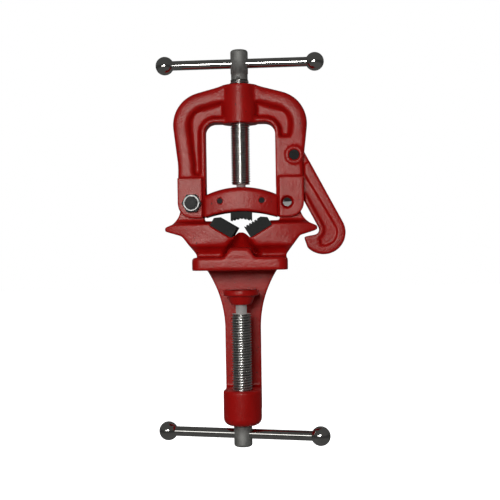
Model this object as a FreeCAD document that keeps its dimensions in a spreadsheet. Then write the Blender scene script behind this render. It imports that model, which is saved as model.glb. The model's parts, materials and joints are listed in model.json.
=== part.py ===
import FreeCAD, Part
import math
import os
import re
import Sketcher
from FreeCAD import Placement, Rotation, Vector

# Yoke pipe vise that clamps to a bench edge.
# Origin: where the clamp screw's axis meets the seat under the shelf, the face that lies on the bench.
# +X right, +Y away from the bench's edge, +Z up. All sizes are in millimetres and degrees.

SIZES = [
    # where things stand
    ("throat", 42.0, "clamp screw's axis back to the yoke's middle plane"),
    ("pin_gap", 0.05, "running clearance on radius of pins and screws"),
    ("side_gap", 0.3, "clearance of flat sides that slide or swing past each other"),
    ("press_gap", 0.02, "clearance on radius of pieces that are pressed together"),
    ("screw_radius", 9.5, "outside of the screw threads"),
    # yoke
    ("yoke_half_depth", 11.0, "yoke's rim and rails, half their depth"),
    ("window_half", 35.0, "half the window between the legs"),
    ("window_rise", 80.5, "underside of the yoke's bridge above the hinge bolt"),
    ("window_corner", 10.0, "radius of the window's upper corners"),
    ("pivot_out", 13.2, "hinge bolt from the window's edge"),
    ("foot_clear", 3.0, "gap between the feet's round and the block below"),
    ("foot_radius", 14.5, "round of the legs about the hinge bolt"),
    ("waist_rise", 39.0, "where the legs' outer faces start to lean out, above the hinge bolt"),
    ("shoulder_out", 7.7, "outline's upper corner before it is rounded, outside the legs"),
    ("shoulder_drop", 14.6, "the same corner below the crown"),
    ("shoulder_radius", 33.0, "round of the shoulders"),
    ("crown_half", 15.5, "where the sloping top meets the boss"),
    ("bridge_rise", 37.6, "crown above the window, where the sloping top meets the boss"),
    ("screw_boss_radius", 18.0, "boss round the main screw"),
    ("boss_hang", 1.0, "lower end of the boss below the bridge"),
    ("boss_proud", 0.4, "upper end of the boss above the crown"),
    ("rim_width", 15.0, "outer rim, to the start of the web"),
    ("crown_rim", 15.45, "the same rim under the sloping top, measured upright"),
    ("bead_width", 4.0, "bead round the window"),
    ("rim_round", 3.5, "round of the outer rim's edges"),
    ("web_half", 4.5, "half the thickness of the recessed web"),
    ("web_corner_in", 16.4, "web's upper corner inside the outline's"),
    ("web_corner_drop", 11.2, "web's upper corner below the outline's"),
    ("web_start", 12.0, "web's inner end, inside the boss"),
    ("web_draft", 22.0, "slope of the rim's inner flank"),
    ("web_foot", 2.5, "lower end of the left web above the foot"),
    ("hook_plate_rise", 18.0, "top of the flat plate above the hook's pin"),
    ("plate_half_depth", 16.0, "half the depth of the forked feet"),
    ("plate_rise", 25.5, "top of the forked feet above the hinge bolt"),
    ("plate_clear", 1.3, "gap between the forked feet and the carrier's ends"),
    ("lug_half_depth", 9.0, "half the thickness of the base's lugs"),
    ("roof_clear", 3.5, "gap above the lugs in their slot"),
    # closing pin and hook
    ("closing_pin_out", 11.0, "closing pin from the window's edge"),
    ("closing_pin_radius", 4.25, "closing pin"),
    ("closing_sink_radius", 5.75, "counterbore round the closing pin's end"),
    ("closing_sink_depth", 2.5, "depth of that counterbore"),
    ("hook_pin_out", 18.7, "hook's pin from the window's edge"),
    ("hook_pin_rise", 47.0, "hook's pin above the hinge bolt"),
    ("hook_pin_radius", 5.0, "hook's pin"),
    ("hook_ring_radius", 8.75, "raised ring round the hook's pin"),
    ("hook_ring_proud", 1.2, "height of that ring"),
    ("hook_pin_sink", 0.2, "how far the hook's pin ends below that ring"),
    ("closing_pin_sink", 0.8, "how far the closing pin ends below the feet's faces"),
    ("hook_web_half", 5.0, "half the thickness of the hook's web and eye"),
    ("hook_rim_half", 7.0, "half the thickness of the hook's rim"),
    ("hook_round", 1.8, "round of the hook's outer edges"),
    ("slot_wall_out", 6.5, "inner wall of the hook's slot from the window's edge"),
    ("hook_slot_drop", 44.0, "lower end of the hook's slot below the pin"),
    ("slot_clear", 3.2, "gap above the hook's eye in its slot"),
    ("hook_eye_radius", 10.8, "hook's eye"),
    ("hook_lean", 27.9, "lean of the hook's shank from upright"),
    ("hook_shank_in", 13.0, "shank's inner edge from the hook's pin"),
    ("hook_bend_drop", 81.75, "centre of the bend below the pin, along the shank"),
    ("hook_bend_radius", 22.0, "outside of the hook's bend"),
    ("hook_toe_angle", 15.0, "where the bend ends at the nose, past level"),
    ("hook_nose_reach", 30.5, "nose's tip from the pin, across the shank"),
    ("hook_nose_drop", 76.1, "nose's tip below the pin, along the shank"),
    ("hook_nose_round", 1.2, "round of the nose's tip"),
    ("hook_crotch_drop", 81.7, "sharp corner of the throat below the pin"),
    ("hook_throat_round", 5.0, "round of the throat"),
    ("hook_throat_drop", 74.85, "centre of the throat's round below the pin"),
    ("hook_rim_width", 8.5, "width of the rim along the outside"),
    ("hook_inner_rim", 4.6, "width of the rim along the inside"),
    ("hollow_end_angle", 48.0, "where the hollow ends in the nose, past level"),
    ("rim_foot_in", 19.0, "lower end of the rim's start, across the shank"),
    ("rim_foot_drop", 57.9, "lower end of the rim's start, below the pin"),
    ("rim_head_in", 4.9, "upper end of the rim's start, across the shank"),
    ("rim_head_drop", 12.8, "upper end of the rim's start, below the pin"),
    ("rim_head_fall", 0.5, "fall of the rim's upper end towards the outside"),
    ("hollow_head_in", 2.5, "lean of the hollow's upper end away from the outside"),
    # base casting
    ("shelf_half", 45.5, "half the width of the shelf that lies on the bench"),
    ("shelf_thick", 12.5, "thickness of the shelf"),
    ("shelf_front", 24.0, "shelf in front of the clamp screw's axis"),
    ("shelf_back", 64.0, "shelf behind the clamp screw's axis"),
    ("shelf_corner", 9.5, "round of the shelf's corners in plan"),
    ("shelf_round", 3.0, "round of the shelf's upper edge"),
    ("vee_half_depth", 25.0, "half the depth of the block that holds the lower jaws"),
    ("waist_in", 1.0, "block's foot inside the shelf's side"),
    ("vee_shoulder_half", 58.5, "where the flank turns out to the wing"),
    ("wing_thick", 8.3, "where the flank turns out, below the wing's tip"),
    ("wing_half", 75.4, "tip of the wings"),
    ("wing_drop", 6.9, "tip of the wings below the block's top"),
    ("waist_step", 2.0, "upright foot of the flank above the shelf"),
    ("armpit_round", 5.0, "hollow where the flank turns out to the wing"),
    ("wing_under", 3.2, "underside of the wing's tip below its middle"),
    ("wing_over", 0.6, "top of the wing's tip above its middle"),
    ("wing_tip_round", 1.6, "round of the wing's tip"),
    ("wing_top_in", 15.0, "where the wing's top starts to fall, inside its tip"),
    ("sunk", 1.0, "how far a form runs into the one that carries it"),
    ("past", 1.0, "how far a cut runs past the metal that it cuts"),
    ("ledge_fall", 3.3, "slope of the block's top down to its front and back faces"),
    ("vee_ledge_height", 48.5, "block's top beside the lugs"),
    ("cove_radius", 9.0, "hollow between the block and the shelf"),
    ("cove_rise", 10.5, "upper end of that hollow above the shelf"),
    ("cove_curve", 10.35, "curve of that hollow"),
    ("lug_outer", 12.5, "lugs' outer flank outside their pins"),
    ("lug_curve", 13.0, "curve of the left lug's outer shoulder"),
    ("lug_right_curve", 16.25, "curve of the right lug's outer shoulder"),
    ("lug_flank_drop", 4.0, "upper end of the hollow flank below the pins"),
    ("lug_skirt_drop", 5.0, "lower end of the hollow flank below the block's top"),
    ("lug_top_drop", 2.5, "right lug's flat top below its full round"),
    ("lug_top_fall", 1.0, "fall of that top towards the carrier"),
    ("notch_lip", 3.0, "right lug's flat top outside the closing pin's notch"),
    ("notch_flare", 0.4, "widening of the notch on its outside"),
    ("notch_lead", 2.2, "widening of the notch on its inside, where the pin swings in"),
    ("skirt_in", 2.4, "foot of the lugs' outer flank inside the wing's tip"),
    ("lug_skirt_radius", 21.0, "hollow curve of the lugs' outer flank"),
    ("lug_clear", 0.7, "gap between the left lug and the carrier's end"),
    ("swing_room", 0.9, "further gap at the right lug, which the carrier's corner swings past"),
    ("tab_half", 14.5, "foot of the rib on the shelf"),
    ("tab_top_half", 10.0, "top of the rib on the shelf"),
    ("tab_rise", 9.0, "top of the rib above the shelf"),
    ("tab_foot", 1.0, "small step at that rib's foot"),
    ("tab_round", 2.0, "round of that rib's upper edges"),
    ("tab_reach", 13.5, "how far that rib runs in under the block"),
    ("facet_half", 18.0, "half the width of the flat hollow under the jaws"),
    ("facet_foot", 1.0, "lower edge of that hollow above the shelf"),
    ("facet_side", 7.0, "its side corners above the shelf"),
    ("facet_peak", 4.0, "its peak above the ridge between the jaws"),
    ("facet_round", 4.0, "round of its side corners"),
    ("facet_peak_round", 2.0, "round of its peak"),
    ("facet_depth", 5.0, "depth of that hollow"),
    ("facet_draft", 25.0, "slope of its sides"),
    ("spine_front", 34.0, "spine's front face, behind the clamp screw's axis"),
    ("spine_thick", 16.0, "thickness of the spine"),
    ("spine_half", 17.8, "half the width of the spine"),
    ("spine_flare_height", 60.0, "below the seat, where the spine starts to widen"),
    ("spine_flare_radius", 110.0, "curve of the widening spine"),
    ("rib_half", 6.0, "half the thickness of the rib behind the spine"),
    ("rib_depth", 13.0, "height of that rib"),
    ("rib_elbow", 34.0, "round of the rib's lower corner"),
    ("rib_taper", 2.0, "how much lower the rib stands at its foot"),
    ("clamp_boss_radius", 18.5, "boss round the clamp screw"),
    ("clamp_boss_top", 115.0, "upper end of the boss, below the seat"),
    ("clamp_boss_length", 34.0, "length of the boss"),
    ("clamp_boss_round", 7.0, "round of the boss's lower edge"),
    ("clamp_boss_edge", 1.5, "round of the boss's upper edge"),
    ("arm_corner", 6.0, "round of the upright corners where the spine turns to the boss"),
    ("arm_up", 1.0, "underside of that arm, above the boss's lower round"),
    ("arm_below", 2.0, "top of that arm, below the boss's upper end"),
    # lower jaws
    ("jaw_x", 3.2, "inner end of a lower jaw's toothed face"),
    ("jaw_drop", 6.6, "inner end of a lower jaw's toothed face, below the block's top"),
    ("jaw_tilt", 31.0, "slope of a lower jaw"),
    ("jaw_thick", 12.5, "thickness of a lower jaw"),
    ("jaw_length", 24.5, "length of a lower jaw along the slope"),
    ("jaw_face", 19.0, "length of its toothed face"),
    ("jaw_bevel", 4.0, "depth of the bevel at its outer end"),
    ("jaw_half_depth", 24.0, "half the jaw's length along the pipe"),
    ("tooth_pitch", 3.1, "spacing of the lower jaws' teeth"),
    ("tooth_depth", 1.6, "depth of the jaws' teeth"),
    ("tooth_start", 0.2, "where a groove starts, in pitches"),
    ("tooth_bottom", 0.55, "where its bottom lies, in pitches"),
    ("tooth_end", 0.9, "where it ends, in pitches"),
    ("tooth_margin", 1.2, "plain ends of the toothed face, in pitches"),
    ("tooth_past", 0.3, "how far the groove's outline stands above the face"),
    ("jaw_ridge_half", 2.5, "ridge of the casting between the lower jaws"),
    ("ridge_drop", 5.3, "top of that ridge, below the toothed face's inner end"),
    ("jaw_toe_room", 3.2, "room beside a lower jaw's inner edge"),
    ("jaw_toe_rise", 2.0, "foot of the ridge above the seat's inner edge"),
    ("jaw_room", 16.0, "depth of the wall at a lower jaw's outer end"),
    ("jaw_pin_radius", 2.5, "pin that keys a lower jaw to its seat"),
    ("jaw_pin_length", 32.0, "length of that pin"),
    # hinge bolt
    ("bolt_radius", 5.0, "hinge bolt"),
    ("hex_half", 8.5, "half the width across flats of the bolt's head and nut"),
    ("head_height", 6.4, "bolt's head"),
    ("nut_height", 7.0, "hexagonal part of the lock nut"),
    ("collar_radius", 7.75, "collar of the lock nut"),
    ("collar_height", 3.0, "height of that collar"),
    ("insert_radius", 6.6, "outside of the lock nut's insert"),
    ("insert_sink", 0.4, "insert's face below the collar's edge"),
    ("bolt_end", 1.0, "bolt's end past the lock nut"),
    # jaw carrier
    ("carrier_lap", 1.7, "how far the carrier's ends reach over the legs"),
    ("carrier_height", 22.5, "height of the carrier's ends"),
    ("carrier_rise", 8.0, "rise of the arched upper edge"),
    ("carrier_arch", 6.0, "rise of the arched lower edge"),
    ("carrier_end_half", 15.0, "half the carrier's depth at its ends"),
    ("carrier_bow", 3.0, "swell of its front and back faces"),
    ("carrier_round", 2.0, "round of its arched edges"),
    ("roof_drop", 1.0, "roof of the carrier's pocket, below the ends' upper edge"),
    ("root_half", 26.0, "half the width of the upper jaw's root"),
    ("root_rise", 7.0, "underside of that root, above the carrier's lower edge"),
    ("upper_half_depth", 13.0, "half the upper jaw's length along the pipe"),
    ("upper_half", 10.4, "half the width of the upper jaw's face"),
    ("upper_reach", 3.0, "lower edge of the upper jaw's face, below the carrier's ends"),
    ("upper_hollow", 2.4, "depth of its shallow hollow"),
    ("upper_groove_half", 1.3, "half the width of the grooves in that face"),
    ("upper_groove_past", 0.8, "how far their outlines stand out of the face"),
    ("carrier_pin_x", 20.75, "pins through the carrier"),
    ("carrier_pin_rise", 16.5, "pins above the carrier's lower edge"),
    ("carrier_pin_radius", 2.75, "pins through the carrier"),
    ("carrier_pin_sink", 0.6, "how far those pins end below the surface"),
    # main screw
    ("shoulder_above", 12.0, "lower end of the main thread above the carrier's roof"),
    ("thread_above", 5.5, "upper end of the main thread above the yoke's boss"),
    ("screw_neck_radius", 8.4, "neck between thread and head"),
    ("head_above", 12.0, "lower end of the head above the yoke's boss"),
    ("head_length", 23.5, "length of the head"),
    ("head_radius", 8.8, "heads that hold the handles"),
    ("head_round", 2.5, "round of the heads' ends"),
    ("thread_round", 1.0, "round of the threads' ends"),
    ("nose_round", 0.8, "round of the screws' noses"),
    ("nose_end_gap", 0.2, "room past the end of a nose in its bore"),
    ("nose_radius", 4.6, "nose of the main screw"),
    ("nose_length", 10.2, "nose below the carrier's roof"),
    ("washer_radius", 8.2, "washer under the carrier's roof"),
    ("washer_thick", 1.5, "thickness of that washer"),
    ("clip_thick", 1.2, "retaining ring"),
    ("clip_radius", 7.2, "outside of the retaining ring"),
    ("groove_radius", 3.9, "bottom of the ring's groove"),
    # handles
    ("handle_above", 10.1, "main handle above the head's lower end"),
    ("handle_below", 8.3, "clamp handle below the base's boss"),
    ("bar_radius", 4.75, "handle bars"),
    ("bar_gap", 0.1, "clearance of a bar in its head"),
    ("handle_half", 85.0, "half a handle's length over its balls"),
    ("ball_radius", 9.25, "balls on the bars"),
    ("ball_bore", 10.0, "depth of the bore in a ball"),
    ("main_handle_turn", 3.0, "main handle's turn about its screw"),
    ("clamp_handle_turn", 13.0, "clamp handle's turn about its screw"),
    # clamp screw and pad
    ("thread_below_pad", 8.6, "upper end of the clamp thread below the pad"),
    ("thread_below", 0.5, "lower end of the clamp thread below the base's boss"),
    ("head_below", 12.2, "lower end of the clamp screw's head below its handle"),
    ("clamp_nose_radius", 5.2, "nose of the clamp screw"),
    ("pad_roof", 4.2, "end of that nose below the pad's face"),
    ("pad_top", 19.0, "pad's face, below the seat"),
    ("pad_thick", 6.0, "thickness of the pad's plate"),
    ("pad_radius", 17.0, "pad's plate"),
    ("pad_height", 14.4, "height of the pad and its hub"),
    ("pad_hub_radius", 13.5, "hub where it meets the plate"),
    ("pad_hub_end_radius", 10.0, "hub at its lower end"),
    ("pad_round", 1.0, "round of the pad's edges"),
    ("pad_pin_radius", 1.5, "pin that keeps the pad on its screw"),
    ("pad_pin_up", 3.9, "that pin above the hub's lower end"),
    ("pad_pin_short", 1.5, "ends of that pin inside the hub's lower end"),
    ("pad_groove_half", 1.8, "half the width of the groove that the pin runs in"),
    ("pad_groove_radius", 3.6, "bottom of that groove"),
]

# Places that follow from the sizes above: each name stands for its sum wherever it is used.
DERIVED = {
    "pivot_height": "vee_ledge_height + foot_clear + foot_radius",
    "pivot_x": "window_half + pivot_out",
    "closing_pin_x": "window_half + closing_pin_out",
    "hook_pin_x": "window_half + hook_pin_out",
    "hook_pin_height": "pivot_height + hook_pin_rise",
    "leg_half": "pivot_x + foot_radius",
    "leg_bottom": "pivot_height - foot_radius",
    "window_top": "pivot_height + window_rise",
    "waist_height": "pivot_height + waist_rise",
    "crown_height": "window_top + bridge_rise",
    "shoulder_half": "leg_half + shoulder_out",
    "shoulder_height": "crown_height - shoulder_drop",
    "screw_boss_bottom": "window_top - boss_hang",
    "screw_boss_top": "crown_height + boss_proud",
    "web_corner_half": "shoulder_half - web_corner_in",
    "web_corner_height": "shoulder_height - web_corner_drop",
    "plate_top": "pivot_height + plate_rise",
    "plate_inner": "carrier_half + plate_clear",
    "left_web_bottom": "plate_top + web_foot",
    "hook_plate_top": "hook_pin_height + hook_plate_rise",
    "fork_roof": "pivot_height + lug_outer + roof_clear",
    "fork_half": "lug_half_depth + side_gap",
    "hook_slot_wall": "window_half + slot_wall_out",
    "hook_slot_bottom": "hook_pin_height - hook_slot_drop",
    "hook_slot_top": "hook_pin_height + hook_eye_radius + slot_clear",
    "hook_slot_half": "hook_web_half + side_gap",
    "vee_waist_half": "shelf_half - waist_in",
    "wing_height": "vee_ledge_height - wing_drop",
    "vee_shoulder_height": "wing_height - wing_thick",
    "vee_edge_height": "vee_ledge_height - ledge_fall",
    "cove_top": "shelf_thick + cove_rise",
    "lug_skirt_half": "wing_half - skirt_in",
    "lug_inner": "carrier_half + lug_clear",
    "lug_radius": "pivot_x - lug_inner",
    "lug_top": "pivot_height + lug_outer - lug_top_drop",
    "tab_height": "shelf_thick + tab_rise",
    "spine_back": "spine_front + spine_thick",
    "clamp_boss_bottom": "clamp_boss_top + clamp_boss_length",
    "arm_drop": "clamp_boss_top + arm_below",
    "arm_bottom": "clamp_boss_bottom - clamp_boss_round - arm_up",
    "jaw_height": "vee_ledge_height - jaw_drop",
    "jaw_ridge_height": "jaw_height - ridge_drop",
    "jaw_seat_x": "jaw_x + jaw_thick * sin(jaw_tilt)",
    "jaw_seat_height": "jaw_height - jaw_thick * cos(jaw_tilt)",
    "jaw_key_x": "jaw_seat_x + jaw_length / 2 * cos(jaw_tilt)",
    "jaw_key_height": "jaw_seat_height + jaw_length / 2 * sin(jaw_tilt)",
    "bolt_face": "plate_half_depth + side_gap",
    "carrier_half": "window_half + carrier_lap",
    "carrier_bottom": "leg_bottom",
    "carrier_side": "carrier_bottom + carrier_height",
    "carrier_top": "carrier_side + carrier_rise",
    "carrier_roof": "carrier_side - roof_drop",
    "root_bottom": "carrier_bottom + root_rise",
    "upper_bottom": "carrier_bottom - upper_reach",
    "carrier_pin_height": "carrier_bottom + carrier_pin_rise",
    "nose_end": "carrier_roof - nose_length",
    "washer_top": "carrier_roof - 2 * press_gap",
    "clip_top": "washer_top - washer_thick - side_gap",
    "screw_shoulder": "carrier_roof + shoulder_above",
    "screw_thread_top": "screw_boss_top + thread_above",
    "screw_head_bottom": "screw_boss_top + head_above",
    "screw_head_top": "screw_head_bottom + head_length",
    "main_handle_height": "screw_head_bottom + handle_above",
    "clamp_thread_bottom": "clamp_boss_bottom + thread_below",
    "clamp_handle_drop": "clamp_boss_bottom + handle_below",
    "clamp_head_bottom": "clamp_handle_drop + head_below",
    "pad_hub_bottom": "pad_top + pad_height",
    "pad_pin_drop": "pad_hub_bottom - pad_pin_up",
    "pad_pin_out": "pad_groove_radius + pad_pin_radius + pin_gap",
    "clamp_nose_end": "pad_top + pad_roof",
    "clamp_thread_top": "pad_hub_bottom + thread_below_pad",
}

# grooves in each half of the upper jaw's face
UPPER_GROOVES = 3

doc = FreeCAD.newDocument("yoke_pipe_vise")
sheet = doc.addObject("Spreadsheet::Sheet", "Sizes")
for row, (alias, number, meaning) in enumerate(SIZES, start=1):
    sheet.set(f"A{row}", meaning)
    sheet.set(f"B{row}", str(number))
    sheet.setAlias(f"B{row}", alias)
doc.recompute()
NAMES = {alias for alias, number, meaning in SIZES}
WORDS = re.compile(r"[a-z_]+\w*")


def spelt_out(expression):
    """An expression with each derived place replaced by its sum, down to the sheet's own sizes."""
    def replacement(match):
        word = match.group()
        return f"({spelt_out(DERIVED[word])})" if word in DERIVED else word
    return WORDS.sub(replacement, str(expression))


def value(expression):
    """The number that an expression in the sheet's sizes stands for."""
    return float(sheet.evalExpression(spelt_out(expression)))


def bound(expression):
    """The same expression, with each size read from the sheet by other objects."""
    return WORDS.sub(lambda m: f"Sizes.{m.group()}" if m.group() in NAMES else m.group(), spelt_out(expression))


def new_body(label, x="0", y="0", z="0", turn=Rotation()):
    """A body with its own label, whose place is tied to the sheet."""
    body = doc.addObject("PartDesign::Body", label)
    body.Label = label
    body.Placement = Placement(Vector(value(x), value(y), value(z)), turn)
    for axis, expression in zip("xyz", (x, y, z)):
        body.setExpression(f"Placement.Base.{axis}", bound(expression))
    return body


def new_sketch(body, name, plane, at="0"):
    """A sketch on one of the body's planes, moved along that plane's axis to a stated place."""
    sketch = body.newObject("Sketcher::SketchObject", name)
    origin_plane = [f for f in body.Origin.OriginFeatures if f.Role == f"{plane}_Plane"][0]
    sketch.AttachmentSupport = (origin_plane, "")
    sketch.MapMode = "FlatFace"
    # the XZ plane faces the front, so a place further back is a negative offset
    offset = f"-({at})" if plane == "XZ" else f"{at}"
    sketch.setExpression("AttachmentOffset.Base.z", bound(offset))
    doc.recompute()
    return sketch


def fix_point(sketch, geometry, position, x, y):
    """Tie a point's two coordinates to the sheet."""
    for kind, expression in (("DistanceX", x), ("DistanceY", y)):
        index = sketch.addConstraint(Sketcher.Constraint(kind, -1, 1, geometry, position, value(expression)))
        sketch.setExpression(f"Constraints[{index}]", bound(expression))


def fix_radius(sketch, geometry, radius):
    """Tie a round's radius to the sheet."""
    index = sketch.addConstraint(Sketcher.Constraint("Radius", geometry, value(radius)))
    sketch.setExpression(f"Constraints[{index}]", bound(radius))


def add_circle(sketch, x, y, radius):
    """A circle whose centre and radius come from the sheet."""
    centre = Vector(value(x), value(y), 0)
    circle = sketch.addGeometry(Part.Circle(centre, Vector(0, 0, 1), value(radius)), False)
    fix_point(sketch, circle, 3, x, y)
    fix_radius(sketch, circle, radius)


def rounded_corner(before, corner, after, radius):
    """The round of one corner: where it starts and ends, its centre, and whether it turns left."""
    back = (before - corner).normalize()
    ahead = (after - corner).normalize()
    half_angle = back.getAngle(ahead) / 2
    reach = radius / math.tan(half_angle)
    middle = (back + ahead).normalize()
    centre = corner + middle * (radius / math.sin(half_angle))
    turns_left = back.cross(ahead).z < 0
    return corner + back * reach, corner + ahead * reach, centre, turns_left


def arc_between(start, end, radius, bulge_left):
    """The shorter arc from one point to another, as the sketcher's anticlockwise arc."""
    chord = end - start
    left = Vector(-chord.y, chord.x, 0).normalize()
    sag = math.sqrt(radius ** 2 - chord.Length ** 2 / 4)
    centre = (start + end) * 0.5 - left * sag * (1 if bulge_left else -1)
    first, last = (end, start) if bulge_left else (start, end)
    first_angle = math.atan2(first.y - centre.y, first.x - centre.x)
    last_angle = math.atan2(last.y - centre.y, last.x - centre.x)
    circle = Part.Circle(centre, Vector(0, 0, 1), radius)
    return Part.ArcOfCircle(circle, first_angle, last_angle)


def add_outline(sketch, corners, arcs=None):
    """A closed outline. Each corner is (x, y) or (x, y, round). arcs maps a corner's number to
    (radius, side), where the stretch from that corner to the next bulges left or right."""
    arcs = arcs or {}
    points = [Vector(value(c[0]), value(c[1]), 0) for c in corners]
    rounds = [c[2] if len(c) > 2 else None for c in corners]
    count = len(corners)
    starts, ends, curves = [], [], {}
    for i, point in enumerate(points):
        if rounds[i] is None:
            starts.append(point)
            ends.append(point)
            continue
        into, out, centre, turns_left = rounded_corner(
            points[i - 1], point, points[(i + 1) % count], value(rounds[i])
        )
        starts.append(out)
        ends.append(into)
        curves[i] = (centre, turns_left)
    edges = []
    for i in range(count):
        start, end = starts[i], ends[(i + 1) % count]
        if i in arcs:
            radius, side = arcs[i]
            edge = sketch.addGeometry(arc_between(start, end, value(radius), side == "left"), False)
            fix_radius(sketch, edge, radius)
            edges.append((edge, 2, 1) if side == "left" else (edge, 1, 2))
        else:
            edges.append((sketch.addGeometry(Part.LineSegment(start, end), False), 1, 2))
    for i in range(count):
        edge_in, _, end_in = edges[i - 1]
        edge_out, start_out, _ = edges[i]
        x, y = corners[i][0], corners[i][1]
        if rounds[i] is None:
            sketch.addConstraint(Sketcher.Constraint("Coincident", edge_in, end_in, edge_out, start_out))
            fix_point(sketch, edge_out, start_out, x, y)
            continue
        centre, turns_left = curves[i]
        first, last = (ends[i], starts[i]) if turns_left else (starts[i], ends[i])
        first_angle = math.atan2(first.y - centre.y, first.x - centre.x)
        last_angle = math.atan2(last.y - centre.y, last.x - centre.x)
        circle = Part.Circle(centre, Vector(0, 0, 1), value(rounds[i]))
        arc = sketch.addGeometry(Part.ArcOfCircle(circle, first_angle, last_angle), False)
        point = sketch.addGeometry(Part.Point(points[i]), True)
        arc_in, arc_out = (1, 2) if turns_left else (2, 1)
        sketch.addConstraint(
            [
                Sketcher.Constraint("PointOnObject", point, 1, edge_in),
                Sketcher.Constraint("PointOnObject", point, 1, edge_out),
                Sketcher.Constraint("Tangent", edge_in, end_in, arc, arc_in),
                Sketcher.Constraint("Tangent", arc, arc_out, edge_out, start_out),
            ]
        )
        fix_radius(sketch, arc, rounds[i])
        fix_point(sketch, point, 1, x, y)


def outline_sketch(body, name, plane, at, corners, arcs=None):
    """A sketch that holds one closed outline."""
    sketch = new_sketch(body, name, plane, at)
    add_outline(sketch, corners, arcs)
    return sketch


def circle_sketch(body, name, plane, at, circles):
    """A sketch that holds circles, each (x, y, radius)."""
    sketch = new_sketch(body, name, plane, at)
    for x, y, radius in circles:
        add_circle(sketch, x, y, radius)
    return sketch


def pad(body, name, sketch, length, draft=None):
    """Grow a sketch along its plane's normal: up from XY, to the front from XZ, to the right from YZ."""
    feature = body.newObject("PartDesign::Pad", name)
    feature.Profile = sketch
    feature.setExpression("Length", bound(length))
    if draft:
        feature.setExpression("TaperAngle", bound(draft))
    sketch.Visibility = False
    doc.recompute()
    return feature


def cut(body, name, sketch, length, along_normal=False, draft=None):
    """Cut a sketch into the body, against its plane's normal unless told otherwise."""
    before = body.Shape.Volume
    feature = body.newObject("PartDesign::Pocket", name)
    feature.Profile = sketch
    feature.Reversed = along_normal
    feature.setExpression("Length", bound(length))
    if draft:
        feature.setExpression("TaperAngle", bound(draft))
    sketch.Visibility = False
    doc.recompute()
    if body.Shape.Volume > before - 0.01:
        raise ValueError(f"{name} cuts nothing")
    return feature


def revolve(body, name, sketch):
    """Turn a sketch of the XZ plane once round the Z axis."""
    feature = body.newObject("PartDesign::Revolution", name)
    feature.Profile = sketch
    feature.ReferenceAxis = (sketch, ["V_Axis"])
    feature.Angle = 360
    doc.recompute()
    return feature


def soften(body, name, radius, chosen):
    """Round every edge of the body that the test picks."""
    base = body.Tip
    names = [f"Edge{i}" for i, edge in enumerate(base.Shape.Edges, start=1) if chosen(edge)]
    if not names:
        raise ValueError(f"{name} finds no edge")
    feature = body.newObject("PartDesign::Fillet", name)
    feature.Base = (base, names)
    feature.setExpression("Radius", bound(radius))
    doc.recompute()
    return feature


def middle(edge):
    """The point half way along an edge."""
    return edge.valueAt((edge.FirstParameter + edge.LastParameter) / 2)


def flat_in_depth(edge):
    """Whether an edge lies in a plane that faces the front or the back."""
    return edge.BoundBox.YLength < 0.01


def mirrored(corners):
    """The same corners on the other side of the middle, in the order that keeps the outline closed."""
    return [(f"-({c[0]})",) + tuple(c[1:]) for c in reversed(corners)]


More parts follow.
